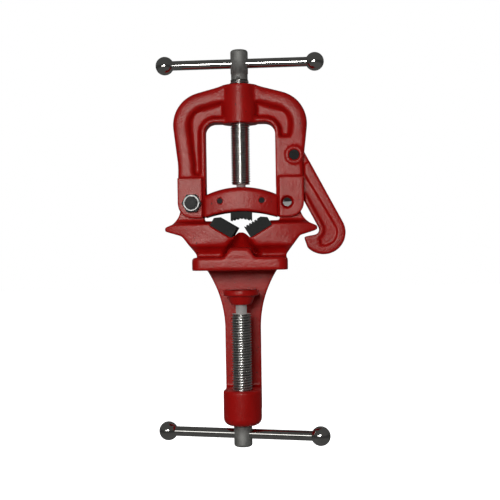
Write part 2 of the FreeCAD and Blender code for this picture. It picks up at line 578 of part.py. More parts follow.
def yoke_frame():
    """The cast yoke: an arch with a recessed web, a screw boss, forked feet and the hook's slot."""
    body = new_body("yoke_frame", y="throat")
    outer = [
        ("leg_half", "leg_bottom", "foot_radius"),
        ("leg_half", "waist_height"),
        ("shoulder_half", "shoulder_height", "shoulder_radius"),
        ("crown_half", "crown_height"),
    ]
    window = [
        ("-window_half", "leg_bottom"),
        ("-window_half", "window_top", "window_corner"),
        ("window_half", "window_top", "window_corner"),
        ("window_half", "leg_bottom"),
    ]
    arch = outline_sketch(body, "arch_outline", "XZ", "yoke_half_depth", outer + mirrored(outer) + window)
    pad(body, "arch", arch, "2 * yoke_half_depth")

    def on_rim(edge):
        place = middle(edge)
        outside = abs(place.x) > value("window_half + sunk") or place.z > value("window_top + sunk")
        return flat_in_depth(edge) and outside and place.z > value("leg_bottom + sunk")

    soften(body, "rim", "rim_round", on_rim)

    fall = "(crown_height - shoulder_height) / (shoulder_half - crown_half)"
    lean = "(shoulder_half - pivot_x - foot_radius) / (shoulder_height - waist_height)"
    web_top = f"crown_height - crown_rim + {fall} * (crown_half - web_start)"
    web_side = "pivot_x + foot_radius - rim_width"
    bead_x = "window_half + bead_width"
    bead_z = "window_top + bead_width"
    bead_round = "window_corner + bead_width"
    left_web = [
        ("-web_start", web_top),
        ("-web_corner_half", "web_corner_height", "shoulder_radius - rim_width"),
        (f"-({web_side})", "waist_height"),
        (f"-({web_side})", "left_web_bottom"),
        (f"-({bead_x})", "left_web_bottom"),
        (f"-({bead_x})", bead_z, bead_round),
        ("-web_start", bead_z),
    ]
    right_web = [
        ("web_start", web_top),
        ("web_corner_half", "web_corner_height", "shoulder_radius - rim_width"),
        (f"{web_side} + {lean} * (hook_plate_top - waist_height)", "hook_plate_top"),
        (bead_x, "hook_plate_top"),
        (bead_x, bead_z, bead_round),
        ("web_start", bead_z),
    ]
    for side, at, along in (("front", "-yoke_half_depth", False), ("back", "yoke_half_depth", True)):
        for name, corners in (("left", left_web), ("right", right_web)):
            web = outline_sketch(body, f"{side}_{name}_web_outline", "XZ", at, corners)
            cut(body, f"{side}_{name}_web", web, "yoke_half_depth - web_half", along, "-web_draft")

    for name, sign in (("left", "-"), ("right", "")):
        foot = outline_sketch(body, f"{name}_foot_outline", "XZ", "plate_half_depth", [
            (f"{sign}plate_inner", "leg_bottom"),
            (f"{sign}leg_half", "leg_bottom", "foot_radius"),
            (f"{sign}leg_half", "plate_top"),
            (f"{sign}plate_inner", "plate_top"),
        ])
        pad(body, f"{name}_foot", foot, "2 * plate_half_depth")
    boss = circle_sketch(body, "screw_boss_outline", "XY", "screw_boss_bottom", [("0", "0", "screw_boss_radius")])
    pad(body, "screw_boss", boss, "screw_boss_top - screw_boss_bottom")
    ring = circle_sketch(body, "hook_ring_outline", "XZ", "yoke_half_depth + hook_ring_proud",
                         [("hook_pin_x", "hook_pin_height", "hook_ring_radius")])
    pad(body, "hook_ring", ring, "2 * (yoke_half_depth + hook_ring_proud)")

    bore = circle_sketch(body, "screw_bore_outline", "XY", "screw_boss_top", [("0", "0", "screw_radius + pin_gap")])
    cut(body, "screw_bore", bore, "screw_boss_top - screw_boss_bottom + yoke_half_depth")
    fork = outline_sketch(body, "fork_outline", "YZ", "leg_half + past", [
        ("-fork_half", "leg_bottom - past"),
        ("fork_half", "leg_bottom - past"),
        ("fork_half", "fork_roof"),
        ("-fork_half", "fork_roof"),
    ])
    cut(body, "fork", fork, "2 * leg_half + 2 * past")
    slot = outline_sketch(body, "hook_slot_outline", "YZ", "shoulder_half", [
        ("-hook_slot_half", "hook_slot_bottom"),
        ("hook_slot_half", "hook_slot_bottom"),
        ("hook_slot_half", "hook_slot_top"),
        ("-hook_slot_half", "hook_slot_top"),
    ])
    cut(body, "hook_slot", slot, "shoulder_half - hook_slot_wall")
    holes = circle_sketch(body, "pin_holes_outline", "XZ", "-plate_half_depth - past", [
        ("-pivot_x", "pivot_height", "bolt_radius + pin_gap"),
        ("closing_pin_x", "pivot_height", "closing_pin_radius + press_gap"),
        ("hook_pin_x", "hook_pin_height", "hook_pin_radius + press_gap"),
    ])
    cut(body, "pin_holes", holes, "2 * plate_half_depth + 2 * past")
    for name, at, along in (("front", "-plate_half_depth", False), ("back", "plate_half_depth", True)):
        sink = circle_sketch(body, f"{name}_sink_outline", "XZ", at,
                             [("closing_pin_x", "pivot_height", "closing_sink_radius")])
        cut(body, f"{name}_sink", sink, "closing_sink_depth", along)
    return body


def round_pin(label, x, z, radius, half_length, y="throat"):
    """A plain pin along Y, by its middle."""
    body = new_body(label, x=x, y=y, z=z)
    sketch = circle_sketch(body, f"{label}_outline", "XZ", half_length, [("0", "0", radius)])
    pad(body, f"{label}_shank", sketch, f"2 * ({half_length})")
    return body


def latch_hook():
    """The hook: eye, shank, bend, throat and nose, drawn with its shank straight down and then leaned."""
    body = new_body("latch_hook", x="hook_pin_x", y="throat", z="hook_pin_height",
                    turn=Rotation(Vector(0, 1, 0), -value("hook_lean")))
    eye, bend = "hook_eye_radius", "hook_bend_radius"
    outline = outline_sketch(body, "hook_outline", "XZ", "hook_rim_half", [
        (eye, "0"),
        (eye, "-hook_bend_drop"),
        (f"{eye} - {bend}", f"-hook_bend_drop - {bend}"),
        (f"{eye} - {bend} - {bend} * cos(hook_toe_angle)", f"-hook_bend_drop - {bend} * sin(hook_toe_angle)"),
        ("-hook_nose_reach", "-hook_nose_drop", "hook_nose_round"),
        ("-hook_shank_in", "-hook_crotch_drop", "hook_throat_round"),
        ("-hook_shank_in", f"-{eye}"),
        (f"-{eye}", "0"),
        ("0", eye),
    ], arcs={1: (bend, "left"), 2: (bend, "left"), 7: (eye, "left"), 8: (eye, "left")})
    pad(body, "hook_blank", outline, "2 * hook_rim_half")

    # the eye and the part of the shank that stays in the slot are thinner than the rim
    for name, at, along in (("front", "-hook_rim_half", False), ("back", "hook_rim_half", True)):
        thin = outline_sketch(body, f"{name}_eye_relief_outline", "XZ", at, [
            ("-2 * hook_shank_in", f"2 * {eye}"),
            ("-2 * hook_shank_in", "-rim_foot_drop"),
            ("-rim_foot_in", "-rim_foot_drop"),
            ("rim_head_in", "-rim_head_drop"),
            (f"{eye} + past", "-rim_head_drop - rim_head_fall"),
            (f"{eye} + past", f"2 * {eye}"),
        ])
        cut(body, f"{name}_eye_relief", thin, "hook_rim_half - hook_web_half", along)
        pocket_round = "(hook_bend_radius - hook_rim_width)"
        inner_round = "(hook_throat_round + hook_inner_rim)"
        hollow = outline_sketch(body, f"{name}_hollow_outline", "XZ", at, [
            (f"{eye} - hook_rim_width - hollow_head_in", "-rim_head_drop + 2 * past"),
            (f"{eye} - hook_rim_width", "-hook_bend_drop"),
            (f"{eye} - {bend}", f"-hook_bend_drop - {pocket_round}"),
            (f"{eye} - {bend} - {pocket_round} * cos(hollow_end_angle)",
             f"-hook_bend_drop - {pocket_round} * sin(hollow_end_angle)"),
            ("-hook_shank_in - hook_throat_round", f"-hook_throat_drop - {inner_round}"),
            ("-hook_shank_in + hook_inner_rim", "-hook_throat_drop"),
            ("-hook_shank_in + hook_inner_rim", "-rim_head_drop + 2 * past"),
        ], arcs={1: (pocket_round, "left"), 2: (pocket_round, "left"), 4: (inner_round, "right")})
        cut(body, f"{name}_hollow", hollow, "hook_rim_half - hook_web_half", along)
    hole = circle_sketch(body, "hook_eye_outline", "XZ", "-hook_rim_half", [("0", "0", "hook_pin_radius + pin_gap")])
    cut(body, "hook_eye", hole, "2 * hook_rim_half")
    rim, bend_x, bend_z = value("hook_rim_half"), value(f"{eye} - {bend}"), -value("hook_bend_drop")

    def on_outside(edge):
        place = middle(edge)
        along_back = place.x > value(eye) - 0.1
        round_bend = place.z < bend_z and abs(math.hypot(place.x - bend_x, place.z - bend_z) - value(bend)) < 0.1
        return flat_in_depth(edge) and abs(place.y) > rim - 0.01 and (along_back or round_bend)

    soften(body, "hook_back", "hook_round", on_outside)
    return body


def base_casting():
    """The base: shelf, block with the jaws' seats, wings, lugs, spine with its rib, and the clamp boss."""
    body = new_body("base_casting")
    shelf = outline_sketch(body, "shelf_outline", "XY", "0", [
        ("-shelf_half", "-shelf_front", "shelf_corner"),
        ("shelf_half", "-shelf_front", "shelf_corner"),
        ("shelf_half", "shelf_back", "shelf_corner"),
        ("-shelf_half", "shelf_back", "shelf_corner"),
    ])
    pad(body, "shelf", shelf, "shelf_thick")
    soften(body, "shelf_edge", "shelf_round", lambda edge: edge.BoundBox.ZMin > value("shelf_thick") - 0.01)

    flank = [
        ("vee_waist_half", "shelf_thick - sunk"),
        ("vee_waist_half", "shelf_thick + waist_step"),
        ("vee_shoulder_half", "vee_shoulder_height", "armpit_round"),
        ("wing_half", "wing_height - wing_under", "wing_tip_round"),
        ("wing_half", "wing_height + wing_over", "wing_tip_round"),
        ("wing_half - wing_top_in", "vee_ledge_height"),
    ]
    block = outline_sketch(body, "block_outline", "XZ", "throat + vee_half_depth", flank + mirrored(flank))
    pad(body, "block", block, "2 * vee_half_depth")
    # the top slopes from the lugs down to both faces, and a hollow runs along the foot of each face
    for name, face, lug in (
        ("front", "throat - vee_half_depth", "throat - lug_half_depth"),
        ("back", "throat + vee_half_depth", "throat + lug_half_depth"),
    ):
        out = "-" if name == "front" else "+"
        trim = new_sketch(body, f"{name}_trim_outline", "YZ", "wing_half + past")
        add_outline(trim, [
            (f"{face} {out} past", "vee_edge_height"),
            (face, "vee_edge_height"),
            (lug, "vee_ledge_height"),
            (lug, "vee_ledge_height + past"),
            (f"{face} {out} past", "vee_ledge_height + past"),
        ])
        add_outline(trim, [
            (f"{face} {out} past", "shelf_thick"),
            (f"{face} {out} -cove_radius", "shelf_thick"),
            (face, "cove_top"),
            (f"{face} {out} past", "cove_top"),
        ], arcs={1: ("cove_curve", "right" if name == "front" else "left")})
        cut(body, f"{name}_trim", trim, "2 * wing_half + 2 * past")

    left_lug = [
        ("-lug_inner", "vee_ledge_height - 3 * sunk"),
        ("-lug_inner", "pivot_height"),
        ("-pivot_x", "pivot_height + lug_radius"),
        ("-pivot_x - lug_outer", "pivot_height - lug_flank_drop"),
        ("-lug_skirt_half", "vee_ledge_height - lug_skirt_drop"),
        ("-lug_skirt_half + sunk", "vee_ledge_height - lug_skirt_drop - 2 * sunk"),
    ]
    left = outline_sketch(body, "left_lug_outline", "XZ", "throat + lug_half_depth", left_lug,
                          arcs={1: ("lug_radius", "right"), 2: ("lug_curve", "right"),
                                3: ("lug_skirt_radius", "left")})
    pad(body, "left_lug", left, "2 * lug_half_depth")
    notch = "(closing_pin_radius + side_gap)"
    right_lug = [
        ("lug_skirt_half - sunk", "vee_ledge_height - lug_skirt_drop - 2 * sunk"),
        ("lug_skirt_half", "vee_ledge_height - lug_skirt_drop"),
        ("closing_pin_x + lug_outer", "pivot_height - lug_flank_drop"),
        (f"closing_pin_x + {notch} + notch_lip", "lug_top"),
        (f"closing_pin_x + {notch} + notch_flare", "lug_top"),
        (f"closing_pin_x + {notch}", "pivot_height"),
        ("closing_pin_x", f"pivot_height - {notch}"),
        (f"closing_pin_x - {notch}", "pivot_height"),
        (f"closing_pin_x - {notch} - notch_lead", "lug_top"),
        ("lug_inner + swing_room", "lug_top - lug_top_fall"),
        ("lug_inner + swing_room", "vee_ledge_height - 3 * sunk"),
    ]
    right = outline_sketch(body, "right_lug_outline", "XZ", "throat + lug_half_depth", right_lug,
                           arcs={1: ("lug_skirt_radius", "left"), 2: ("lug_right_curve", "right"),
                                 5: (notch, "left"), 6: (notch, "left")})
    pad(body, "right_lug", right, "2 * lug_half_depth")
    end_x = "jaw_seat_x + (jaw_length + press_gap) * cos(jaw_tilt)"
    end_z = "jaw_seat_height + (jaw_length + press_gap) * sin(jaw_tilt)"
    seat = [
        ("jaw_ridge_half", "jaw_ridge_height"),
        ("jaw_seat_x - jaw_toe_room", "jaw_seat_height + jaw_toe_rise"),
        ("jaw_seat_x", "jaw_seat_height"),
        (end_x, end_z),
        (f"{end_x} - jaw_room * sin(jaw_tilt)", f"{end_z} + jaw_room * cos(jaw_tilt)"),
    ]
    seats = outline_sketch(body, "jaw_seats_outline", "XZ", "throat - vee_half_depth - past", seat + mirrored(seat))
    cut(body, "jaw_seats", seats, "2 * vee_half_depth + 2 * past")
    for name, sign in (("left", "-"), ("right", "")):
        key = circle_sketch(body, f"{name}_jaw_key_outline", "XZ", "throat + vee_half_depth + past", [
            (f"{sign}jaw_key_x", "jaw_key_height", "jaw_pin_radius + press_gap")])
        cut(body, f"{name}_jaw_key", key, "jaw_pin_length + past", along_normal=True)
    bolt_hole = circle_sketch(body, "bolt_hole_outline", "XZ", "throat - lug_half_depth - past",
                              [("-pivot_x", "pivot_height", "bolt_radius + press_gap")])
    cut(body, "bolt_hole", bolt_hole, "2 * lug_half_depth + 2 * past")
    tab = outline_sketch(body, "tab_outline", "XZ", "throat - vee_half_depth + tab_reach", [
        ("-tab_half", "shelf_thick - sunk"),
        ("tab_half", "shelf_thick - sunk"),
        ("tab_half - tab_foot", "shelf_thick + tab_foot"),
        ("tab_top_half", "tab_height", "tab_round"),
        ("-tab_top_half", "tab_height", "tab_round"),
        ("-tab_half + tab_foot", "shelf_thick + tab_foot"),
    ])
    pad(body, "tab", tab, "throat - vee_half_depth + tab_reach + shelf_front")
    facet = outline_sketch(body, "facet_outline", "XZ", "throat - vee_half_depth", [
        ("0", "jaw_ridge_height + facet_peak", "facet_peak_round"),
        ("facet_half", "shelf_thick + facet_side", "facet_round"),
        ("facet_half", "shelf_thick + facet_foot"),
        ("-facet_half", "shelf_thick + facet_foot"),
        ("-facet_half", "shelf_thick + facet_side", "facet_round"),
    ])
    cut(body, "facet", facet, "facet_depth", draft="-facet_draft")

    flare_x = "(spine_half + spine_flare_radius - sqrt(spine_flare_radius^2 - spine_flare_height^2))"
    half_spine = [
        ("spine_half", "-arm_bottom"),
        ("spine_half", "-spine_flare_height"),
        (flare_x, "0"),
        (flare_x, "sunk"),
    ]
    spine = outline_sketch(body, "spine_outline", "XZ", "spine_back", half_spine + mirrored(half_spine),
                           arcs={1: ("spine_flare_radius", "left"), 5: ("spine_flare_radius", "left")})
    pad(body, "spine", spine, "spine_thick")
    rib = outline_sketch(body, "rib_outline", "YZ", "-rib_half", [
        ("spine_back + rib_depth", "sunk"),
        ("spine_back + rib_depth - rib_taper", "-arm_bottom", "rib_elbow"),
        ("0", "-arm_bottom"),
        ("0", "-arm_drop"),
        ("spine_front + 2 * sunk", "-arm_drop"),
        ("spine_front + 2 * sunk", "sunk"),
    ])
    pad(body, "rib", rib, "2 * rib_half")
    arm = outline_sketch(body, "arm_outline", "XY", "-arm_bottom", [
        ("-spine_half", "0"),
        ("spine_half", "0"),
        ("spine_half", "spine_back", "arm_corner"),
        ("-spine_half", "spine_back", "arm_corner"),
    ])
    pad(body, "arm", arm, "arm_bottom - arm_drop")
    boss = outline_sketch(body, "clamp_boss_outline", "XZ", "0", [
        ("0", "-clamp_boss_top"),
        ("clamp_boss_radius", "-clamp_boss_top", "clamp_boss_edge"),
        ("clamp_boss_radius", "-clamp_boss_bottom", "clamp_boss_round"),
        ("0", "-clamp_boss_bottom"),
    ])
    revolve(body, "clamp_boss", boss)
    bore = circle_sketch(body, "clamp_bore_outline", "XY", "-clamp_boss_top + past",
                         [("0", "0", "screw_radius + pin_gap")])
    cut(body, "clamp_bore", bore, "clamp_boss_length + 2 * past")
    return body


def lower_jaw(side):
    """A lower jaw, drawn lying flat with its toothed face up, then tilted into its seat."""
    sign, spin = ("-", 180) if side == "left" else ("", 0)
    turn = Rotation(Vector(0, 0, 1), spin).multiply(Rotation(Vector(0, 1, 0), -value("jaw_tilt")))
    body = new_body(f"lower_jaw_{side}", x=f"{sign}jaw_x", y="throat", z="jaw_height", turn=turn)
    bar = outline_sketch(body, "bar_outline", "XZ", "jaw_half_depth", [
        ("0", "-jaw_thick"),
        ("0", "0"),
        ("jaw_face", "0"),
        ("jaw_length", "-jaw_bevel"),
        ("jaw_length", "-jaw_thick"),
    ])
    pad(body, "bar", bar, "2 * jaw_half_depth")
    groove = outline_sketch(body, "tooth_outline", "XZ", "-jaw_half_depth - past", [
        ("tooth_start * tooth_pitch", "tooth_past"),
        ("tooth_end * tooth_pitch", "tooth_past"),
        ("tooth_bottom * tooth_pitch", "-tooth_depth"),
    ])
    cut(body, "tooth", groove, "2 * jaw_half_depth + 2 * past")
    teeth = body.newObject("PartDesign::LinearPattern", "teeth")
    teeth.Originals = [body.Tip]
    teeth.Direction = (groove, ["H_Axis"])
    teeth.setExpression("Length", bound("floor(jaw_face / tooth_pitch - tooth_margin) * tooth_pitch"))
    teeth.setExpression("Occurrences", bound("floor(jaw_face / tooth_pitch - tooth_margin) + 1"))
    body.Tip = teeth
    doc.recompute()
    key_face = "jaw_half_depth + past" if side == "right" else "-jaw_half_depth - past"
    key = circle_sketch(body, "key_outline", "XZ", key_face,
                        [("jaw_length / 2", "-jaw_thick", "jaw_pin_radius + press_gap")])
    cut(body, "key", key, "jaw_pin_length - vee_half_depth + jaw_half_depth + past", along_normal=side == "right")
    return body


def lower_jaw_pin(side):
    """The pin that keys a lower jaw to its seat, driven in from the back."""
    sign = "-" if side == "left" else ""
    centre = "throat + vee_half_depth - jaw_pin_length / 2"
    return round_pin(f"lower_jaw_pin_{side}", f"{sign}jaw_key_x", "jaw_key_height", "jaw_pin_radius",
                     "jaw_pin_length / 2 - pin_gap", y=centre)


def hexagon():
    """The six corners of the bolt's head or nut."""
    across = "hex_half / cos(30)"
    return [(f"{across} * cos({angle})", f"{across} * sin({angle})") for angle in range(0, 360, 60)]


def hinge_bolt():
    """The hexagon-head bolt that the yoke swings on, put in from the back."""
    body = new_body("hinge_bolt", x="-pivot_x", y="throat", z="pivot_height")
    shank = circle_sketch(body, "shank_outline", "XZ", "bolt_face", [("0", "0", "bolt_radius")])
    pad(body, "shank", shank, "2 * bolt_face + nut_height + collar_height + bolt_end")
    head = outline_sketch(body, "head_outline", "XZ", "bolt_face + head_height", hexagon())
    pad(body, "head", head, "head_height")
    return body


def hinge_nut():
    """The lock nut on the bolt's front end: a hexagon with a round collar that holds the insert."""
    body = new_body("hinge_nut", x="-pivot_x", y="throat", z="pivot_height")
    face = "-bolt_face"
    hexa = outline_sketch(body, "nut_outline", "XZ", face, hexagon())
    pad(body, "nut", hexa, "nut_height")
    collar = circle_sketch(body, "collar_outline", "XZ", face, [("0", "0", "collar_radius")])
    pad(body, "collar", collar, "nut_height + collar_height")
    hole = circle_sketch(body, "thread_outline", "XZ", f"{face} - nut_height - collar_height",
                         [("0", "0", "bolt_radius + press_gap")])
    cut(body, "thread", hole, "nut_height + collar_height")
    ring = circle_sketch(body, "insert_seat_outline", "XZ", f"{face} - nut_height - collar_height",
                         [("0", "0", "insert_radius")])
    cut(body, "insert_seat", ring, "collar_height")
    return body


def tube(label, x, y, z, outer, inner, length, plane="XZ"):
    """A plain ring that grows along its plane's normal from its place."""
    body = new_body(label, x=x, y=y, z=z)
    ring = circle_sketch(body, f"{label}_outline", plane, "0", [("0", "0", outer), ("0", "0", inner)])
    pad(body, f"{label}_ring", ring, length)
    return body


def jaw_carrier():
    """The crosshead that the main screw pushes: bowed faces, arched edges, slots that ride on the legs."""
    body = new_body("jaw_carrier", y="throat")
    bow = "((carrier_half^2 + carrier_bow^2) / (2 * carrier_bow))"
    slot = "(yoke_half_depth + side_gap)"
    slot_x = "(window_half - side_gap)"
    side = [
        ("carrier_half", "-carrier_end_half"),
        ("carrier_half", f"-{slot}"),
        (slot_x, f"-{slot}"),
        (slot_x, slot),
        ("carrier_half", slot),
        ("carrier_half", "carrier_end_half"),
    ]
    plan = outline_sketch(body, "plan_outline", "XY", "carrier_bottom - past", side + [
        (f"-({x})", f"-({y})") for x, y in side
    ], arcs={5: (bow, "right"), 11: (bow, "right")})
    pad(body, "blank", plan, "carrier_top - carrier_bottom + 2 * past")
    top_arc = "((carrier_half^2 + carrier_rise^2) / (2 * carrier_rise))"
    low_arc = "((carrier_half^2 + carrier_arch^2) / (2 * carrier_arch))"
    trim = new_sketch(body, "edge_outline", "XZ", "-carrier_end_half - carrier_bow - past")
    add_outline(trim, [
        ("-carrier_half - past", "carrier_side"),
        ("-carrier_half", "carrier_side"),
        ("0", "carrier_top"),
        ("carrier_half", "carrier_side"),
        ("carrier_half + past", "carrier_side"),
        ("carrier_half + past", "carrier_top + 2 * past"),
        ("-carrier_half - past", "carrier_top + 2 * past"),
    ], arcs={1: (top_arc, "left"), 2: (top_arc, "left")})
    add_outline(trim, [
        ("-carrier_half - past", "carrier_bottom - 2 * past"),
        ("carrier_half + past", "carrier_bottom - 2 * past"),
        ("carrier_half + past", "carrier_bottom"),
        ("carrier_half", "carrier_bottom"),
        ("0", "carrier_bottom + carrier_arch"),
        ("-carrier_half", "carrier_bottom"),
        ("-carrier_half - past", "carrier_bottom"),
    ], arcs={3: (low_arc, "right"), 4: (low_arc, "right")})
    cut(body, "edges", trim, "2 * (carrier_end_half + carrier_bow + past)")
    soften(body, "arches", "carrier_round",
           lambda edge: edge.BoundBox.XLength > 2 * value("window_half") and edge.BoundBox.ZLength > value("sunk"))
    pocket = outline_sketch(body, "root_pocket_outline", "XY", "carrier_bottom - 2 * past", [
        ("-root_half - press_gap", "-upper_half_depth - press_gap"),
        ("root_half + press_gap", "-upper_half_depth - press_gap"),
        ("root_half + press_gap", "upper_half_depth + press_gap"),
        ("-root_half - press_gap", "upper_half_depth + press_gap"),
    ])
    cut(body, "root_pocket", pocket, "carrier_roof - carrier_bottom + 2 * past", along_normal=True)
    nose = circle_sketch(body, "nose_hole_outline", "XY", "carrier_top + past", [("0", "0", "nose_radius + pin_gap")])
    cut(body, "nose_hole", nose, "carrier_top + past - carrier_roof")
    pins = circle_sketch(body, "pin_holes_outline", "XZ", "-carrier_end_half - carrier_bow - past", [
        ("-carrier_pin_x", "carrier_pin_height", "carrier_pin_radius + press_gap"),
        ("carrier_pin_x", "carrier_pin_height", "carrier_pin_radius + press_gap"),
    ])
    cut(body, "pin_holes", pins, "2 * (carrier_end_half + carrier_bow + past)")
    return body


def upper_jaw():
    """The upper jaw: a wide root in the carrier and a toothed face with a shallow hollow."""
    body = new_body("upper_jaw", y="throat")
    half = [
        ("upper_half", "upper_bottom"),
        ("upper_half", "root_bottom"),
        ("root_half", "root_bottom"),
        ("root_half", "carrier_roof - press_gap"),
    ]
    block = outline_sketch(body, "jaw_outline", "XZ", "upper_half_depth", [
        ("0", "upper_bottom + upper_hollow")] + half + mirrored(half))
    pad(body, "jaw", block, "2 * upper_half_depth")
    for side, sign in (("left", "-"), ("right", "")):
        for number in range(UPPER_GROOVES):
            centre = f"({number} + 1 / 2) * upper_half / {UPPER_GROOVES}"
            face = f"upper_bottom + upper_hollow - ({centre}) / upper_half * upper_hollow"
            groove = outline_sketch(body, f"{side}_tooth_{number}_outline", "XZ", "-upper_half_depth - past", [
                (f"{sign}({centre} - upper_groove_half)", f"{face} - upper_groove_past"),
                (f"{sign}({centre} + upper_groove_half)", f"{face} - upper_groove_past"),
                (f"{sign}({centre})", f"{face} + tooth_depth"),
            ])
            cut(body, f"{side}_tooth_{number}", groove, "2 * upper_half_depth + 2 * past")
    well = circle_sketch(body, "well_outline", "XY", "carrier_roof", [("0", "0", "washer_radius + side_gap")])
    cut(body, "well", well, "carrier_roof - nose_end + nose_end_gap")
    pins = circle_sketch(body, "pin_holes_outline", "XZ", "-upper_half_depth - past", [
        ("-carrier_pin_x", "carrier_pin_height", "carrier_pin_radius + press_gap"),
        ("carrier_pin_x", "carrier_pin_height", "carrier_pin_radius + press_gap"),
    ])
    cut(body, "pin_holes", pins, "2 * upper_half_depth + 2 * past")
    return body


def main_screw():
    """The main screw: head, neck, threaded length and the nose that hangs the carrier."""
    body = new_body("main_screw", y="throat")
    turned = outline_sketch(body, "screw_outline", "XZ", "0", [
        ("0", "nose_end"),
        ("nose_radius", "nose_end", "nose_round"),
        ("nose_radius", "clip_top - clip_thick"),
        ("groove_radius", "clip_top - clip_thick"),
        ("groove_radius", "clip_top"),
        ("nose_radius", "clip_top"),
        ("nose_radius", "screw_shoulder"),
        ("screw_radius", "screw_shoulder", "thread_round"),
        ("screw_radius", "screw_thread_top", "thread_round"),
        ("screw_neck_radius", "screw_thread_top"),
        ("screw_neck_radius", "screw_head_bottom"),
        ("head_radius", "screw_head_bottom"),
        ("head_radius", "screw_head_top", "head_round"),
        ("0", "screw_head_top"),
    ])
    revolve(body, "turned", turned)
    hole = circle_sketch(body, "handle_hole_outline", "YZ", "head_radius + past",
                         [("0", "main_handle_height", "bar_radius + bar_gap")])
    cut(body, "handle_hole", hole, "2 * head_radius + 2 * past")
    body.Placement = Placement(body.Placement.Base, Rotation(Vector(0, 0, 1), -value("main_handle_turn")))
    return body


def clamp_screw():
    """The clamp screw: a nose for the pad, threaded length and a head with a cross hole."""
    body = new_body("clamp_screw", turn=Rotation(Vector(0, 0, 1), -value("clamp_handle_turn")))
    turned = outline_sketch(body, "screw_outline", "XZ", "0", [
        ("0", "-clamp_head_bottom"),
        ("head_radius", "-clamp_head_bottom", "head_round"),
        ("head_radius", "-clamp_thread_bottom"),
        ("screw_radius", "-clamp_thread_bottom", "thread_round"),
        ("screw_radius", "-clamp_thread_top", "thread_round"),
        ("clamp_nose_radius", "-clamp_thread_top"),
        ("clamp_nose_radius", "-pad_pin_drop - pad_groove_half"),
        ("pad_groove_radius", "-pad_pin_drop - pad_groove_half"),
        ("pad_groove_radius", "-pad_pin_drop + pad_groove_half"),
        ("clamp_nose_radius", "-pad_pin_drop + pad_groove_half"),
        ("clamp_nose_radius", "-clamp_nose_end", "nose_round"),
        ("0", "-clamp_nose_end"),
    ])
    revolve(body, "turned", turned)
    hole = circle_sketch(body, "handle_hole_outline", "YZ", "head_radius + past",
                         [("0", "-clamp_handle_drop", "bar_radius + bar_gap")])
    cut(body, "handle_hole", hole, "2 * head_radius + 2 * past")
    return body


def clamp_pad():
    """The swivelling pad: a round plate on a tapering hub with a blind bore for the screw's nose."""
    body = new_body("clamp_pad")
    turned = outline_sketch(body, "pad_outline", "XZ", "0", [
        ("0", "-pad_hub_bottom"),
        ("pad_hub_end_radius", "-pad_hub_bottom", "pad_round"),
        ("pad_hub_radius", "-pad_top - pad_thick"),
        ("pad_radius", "-pad_top - pad_thick", "pad_round"),
        ("pad_radius", "-pad_top", "pad_round"),
        ("0", "-pad_top"),
    ])
    revolve(body, "turned", turned)
    socket = circle_sketch(body, "socket_outline", "XY", "-pad_hub_bottom",
                           [("0", "0", "clamp_nose_radius + pin_gap")])
    cut(body, "socket", socket, "pad_hub_bottom - clamp_nose_end + nose_end_gap", along_normal=True)
    pin = circle_sketch(body, "pin_hole_outline", "YZ", "pad_radius + past",
                        [("pad_pin_out", "-pad_pin_drop", "pad_pin_radius + press_gap")])
    cut(body, "pin_hole", pin, "2 * pad_radius + 2 * past")
    return body


def pad_pin():
    """The cross pin that runs in the groove of the clamp screw's nose."""
    body = new_body("pad_pin", y="pad_pin_out", z="-pad_pin_drop")
    half = "(pad_hub_end_radius - pad_pin_short)"
    shank = circle_sketch(body, "pad_pin_outline", "YZ", f"-{half}", [("0", "0", "pad_pin_radius")])
    pad(body, "pad_pin_shank", shank, f"2 * {half}")
    return body


def handle(name, y, z, turn):
    """A handle: a round bar and two balls with blind bores, turned about its screw."""
    spin = Rotation(Vector(0, 0, 1), -value(turn))
    centre = "(handle_half - ball_radius)"
    seat = f"({centre} - ball_radius + ball_bore)"
    bar = new_body(f"{name}_bar", y=y, z=z, turn=spin)
    shank = circle_sketch(bar, "bar_outline", "YZ", f"-{seat}", [("0", "0", "bar_radius")])
    pad(bar, "bar_shank", shank, f"2 * {seat}")
    for side, sign, swing in (("left", "-", 180), ("right", "", 0)):
        turned = Rotation(Vector(0, 0, 1), swing - value(turn))
        ball = new_body(
            f"{name}_ball_{side}",
            x=f"{sign}{centre} * cos({turn})",
            y=f"{y} - ({sign}{centre}) * sin({turn})",
            z=z, turn=turned,
        )
        profile = outline_sketch(ball, "ball_outline", "XZ", "0", [
            ("0", "-ball_radius"),
            ("ball_radius", "0"),
            ("0", "ball_radius"),
        ], arcs={0: ("ball_radius", "right"), 1: ("ball_radius", "right")})
        revolve(ball, "ball", profile)
        bore = circle_sketch(ball, "bore_outline", "YZ", "-ball_radius", [("0", "0", "bar_radius + press_gap")])
        cut(ball, "bore", bore, "ball_bore", along_normal=True)


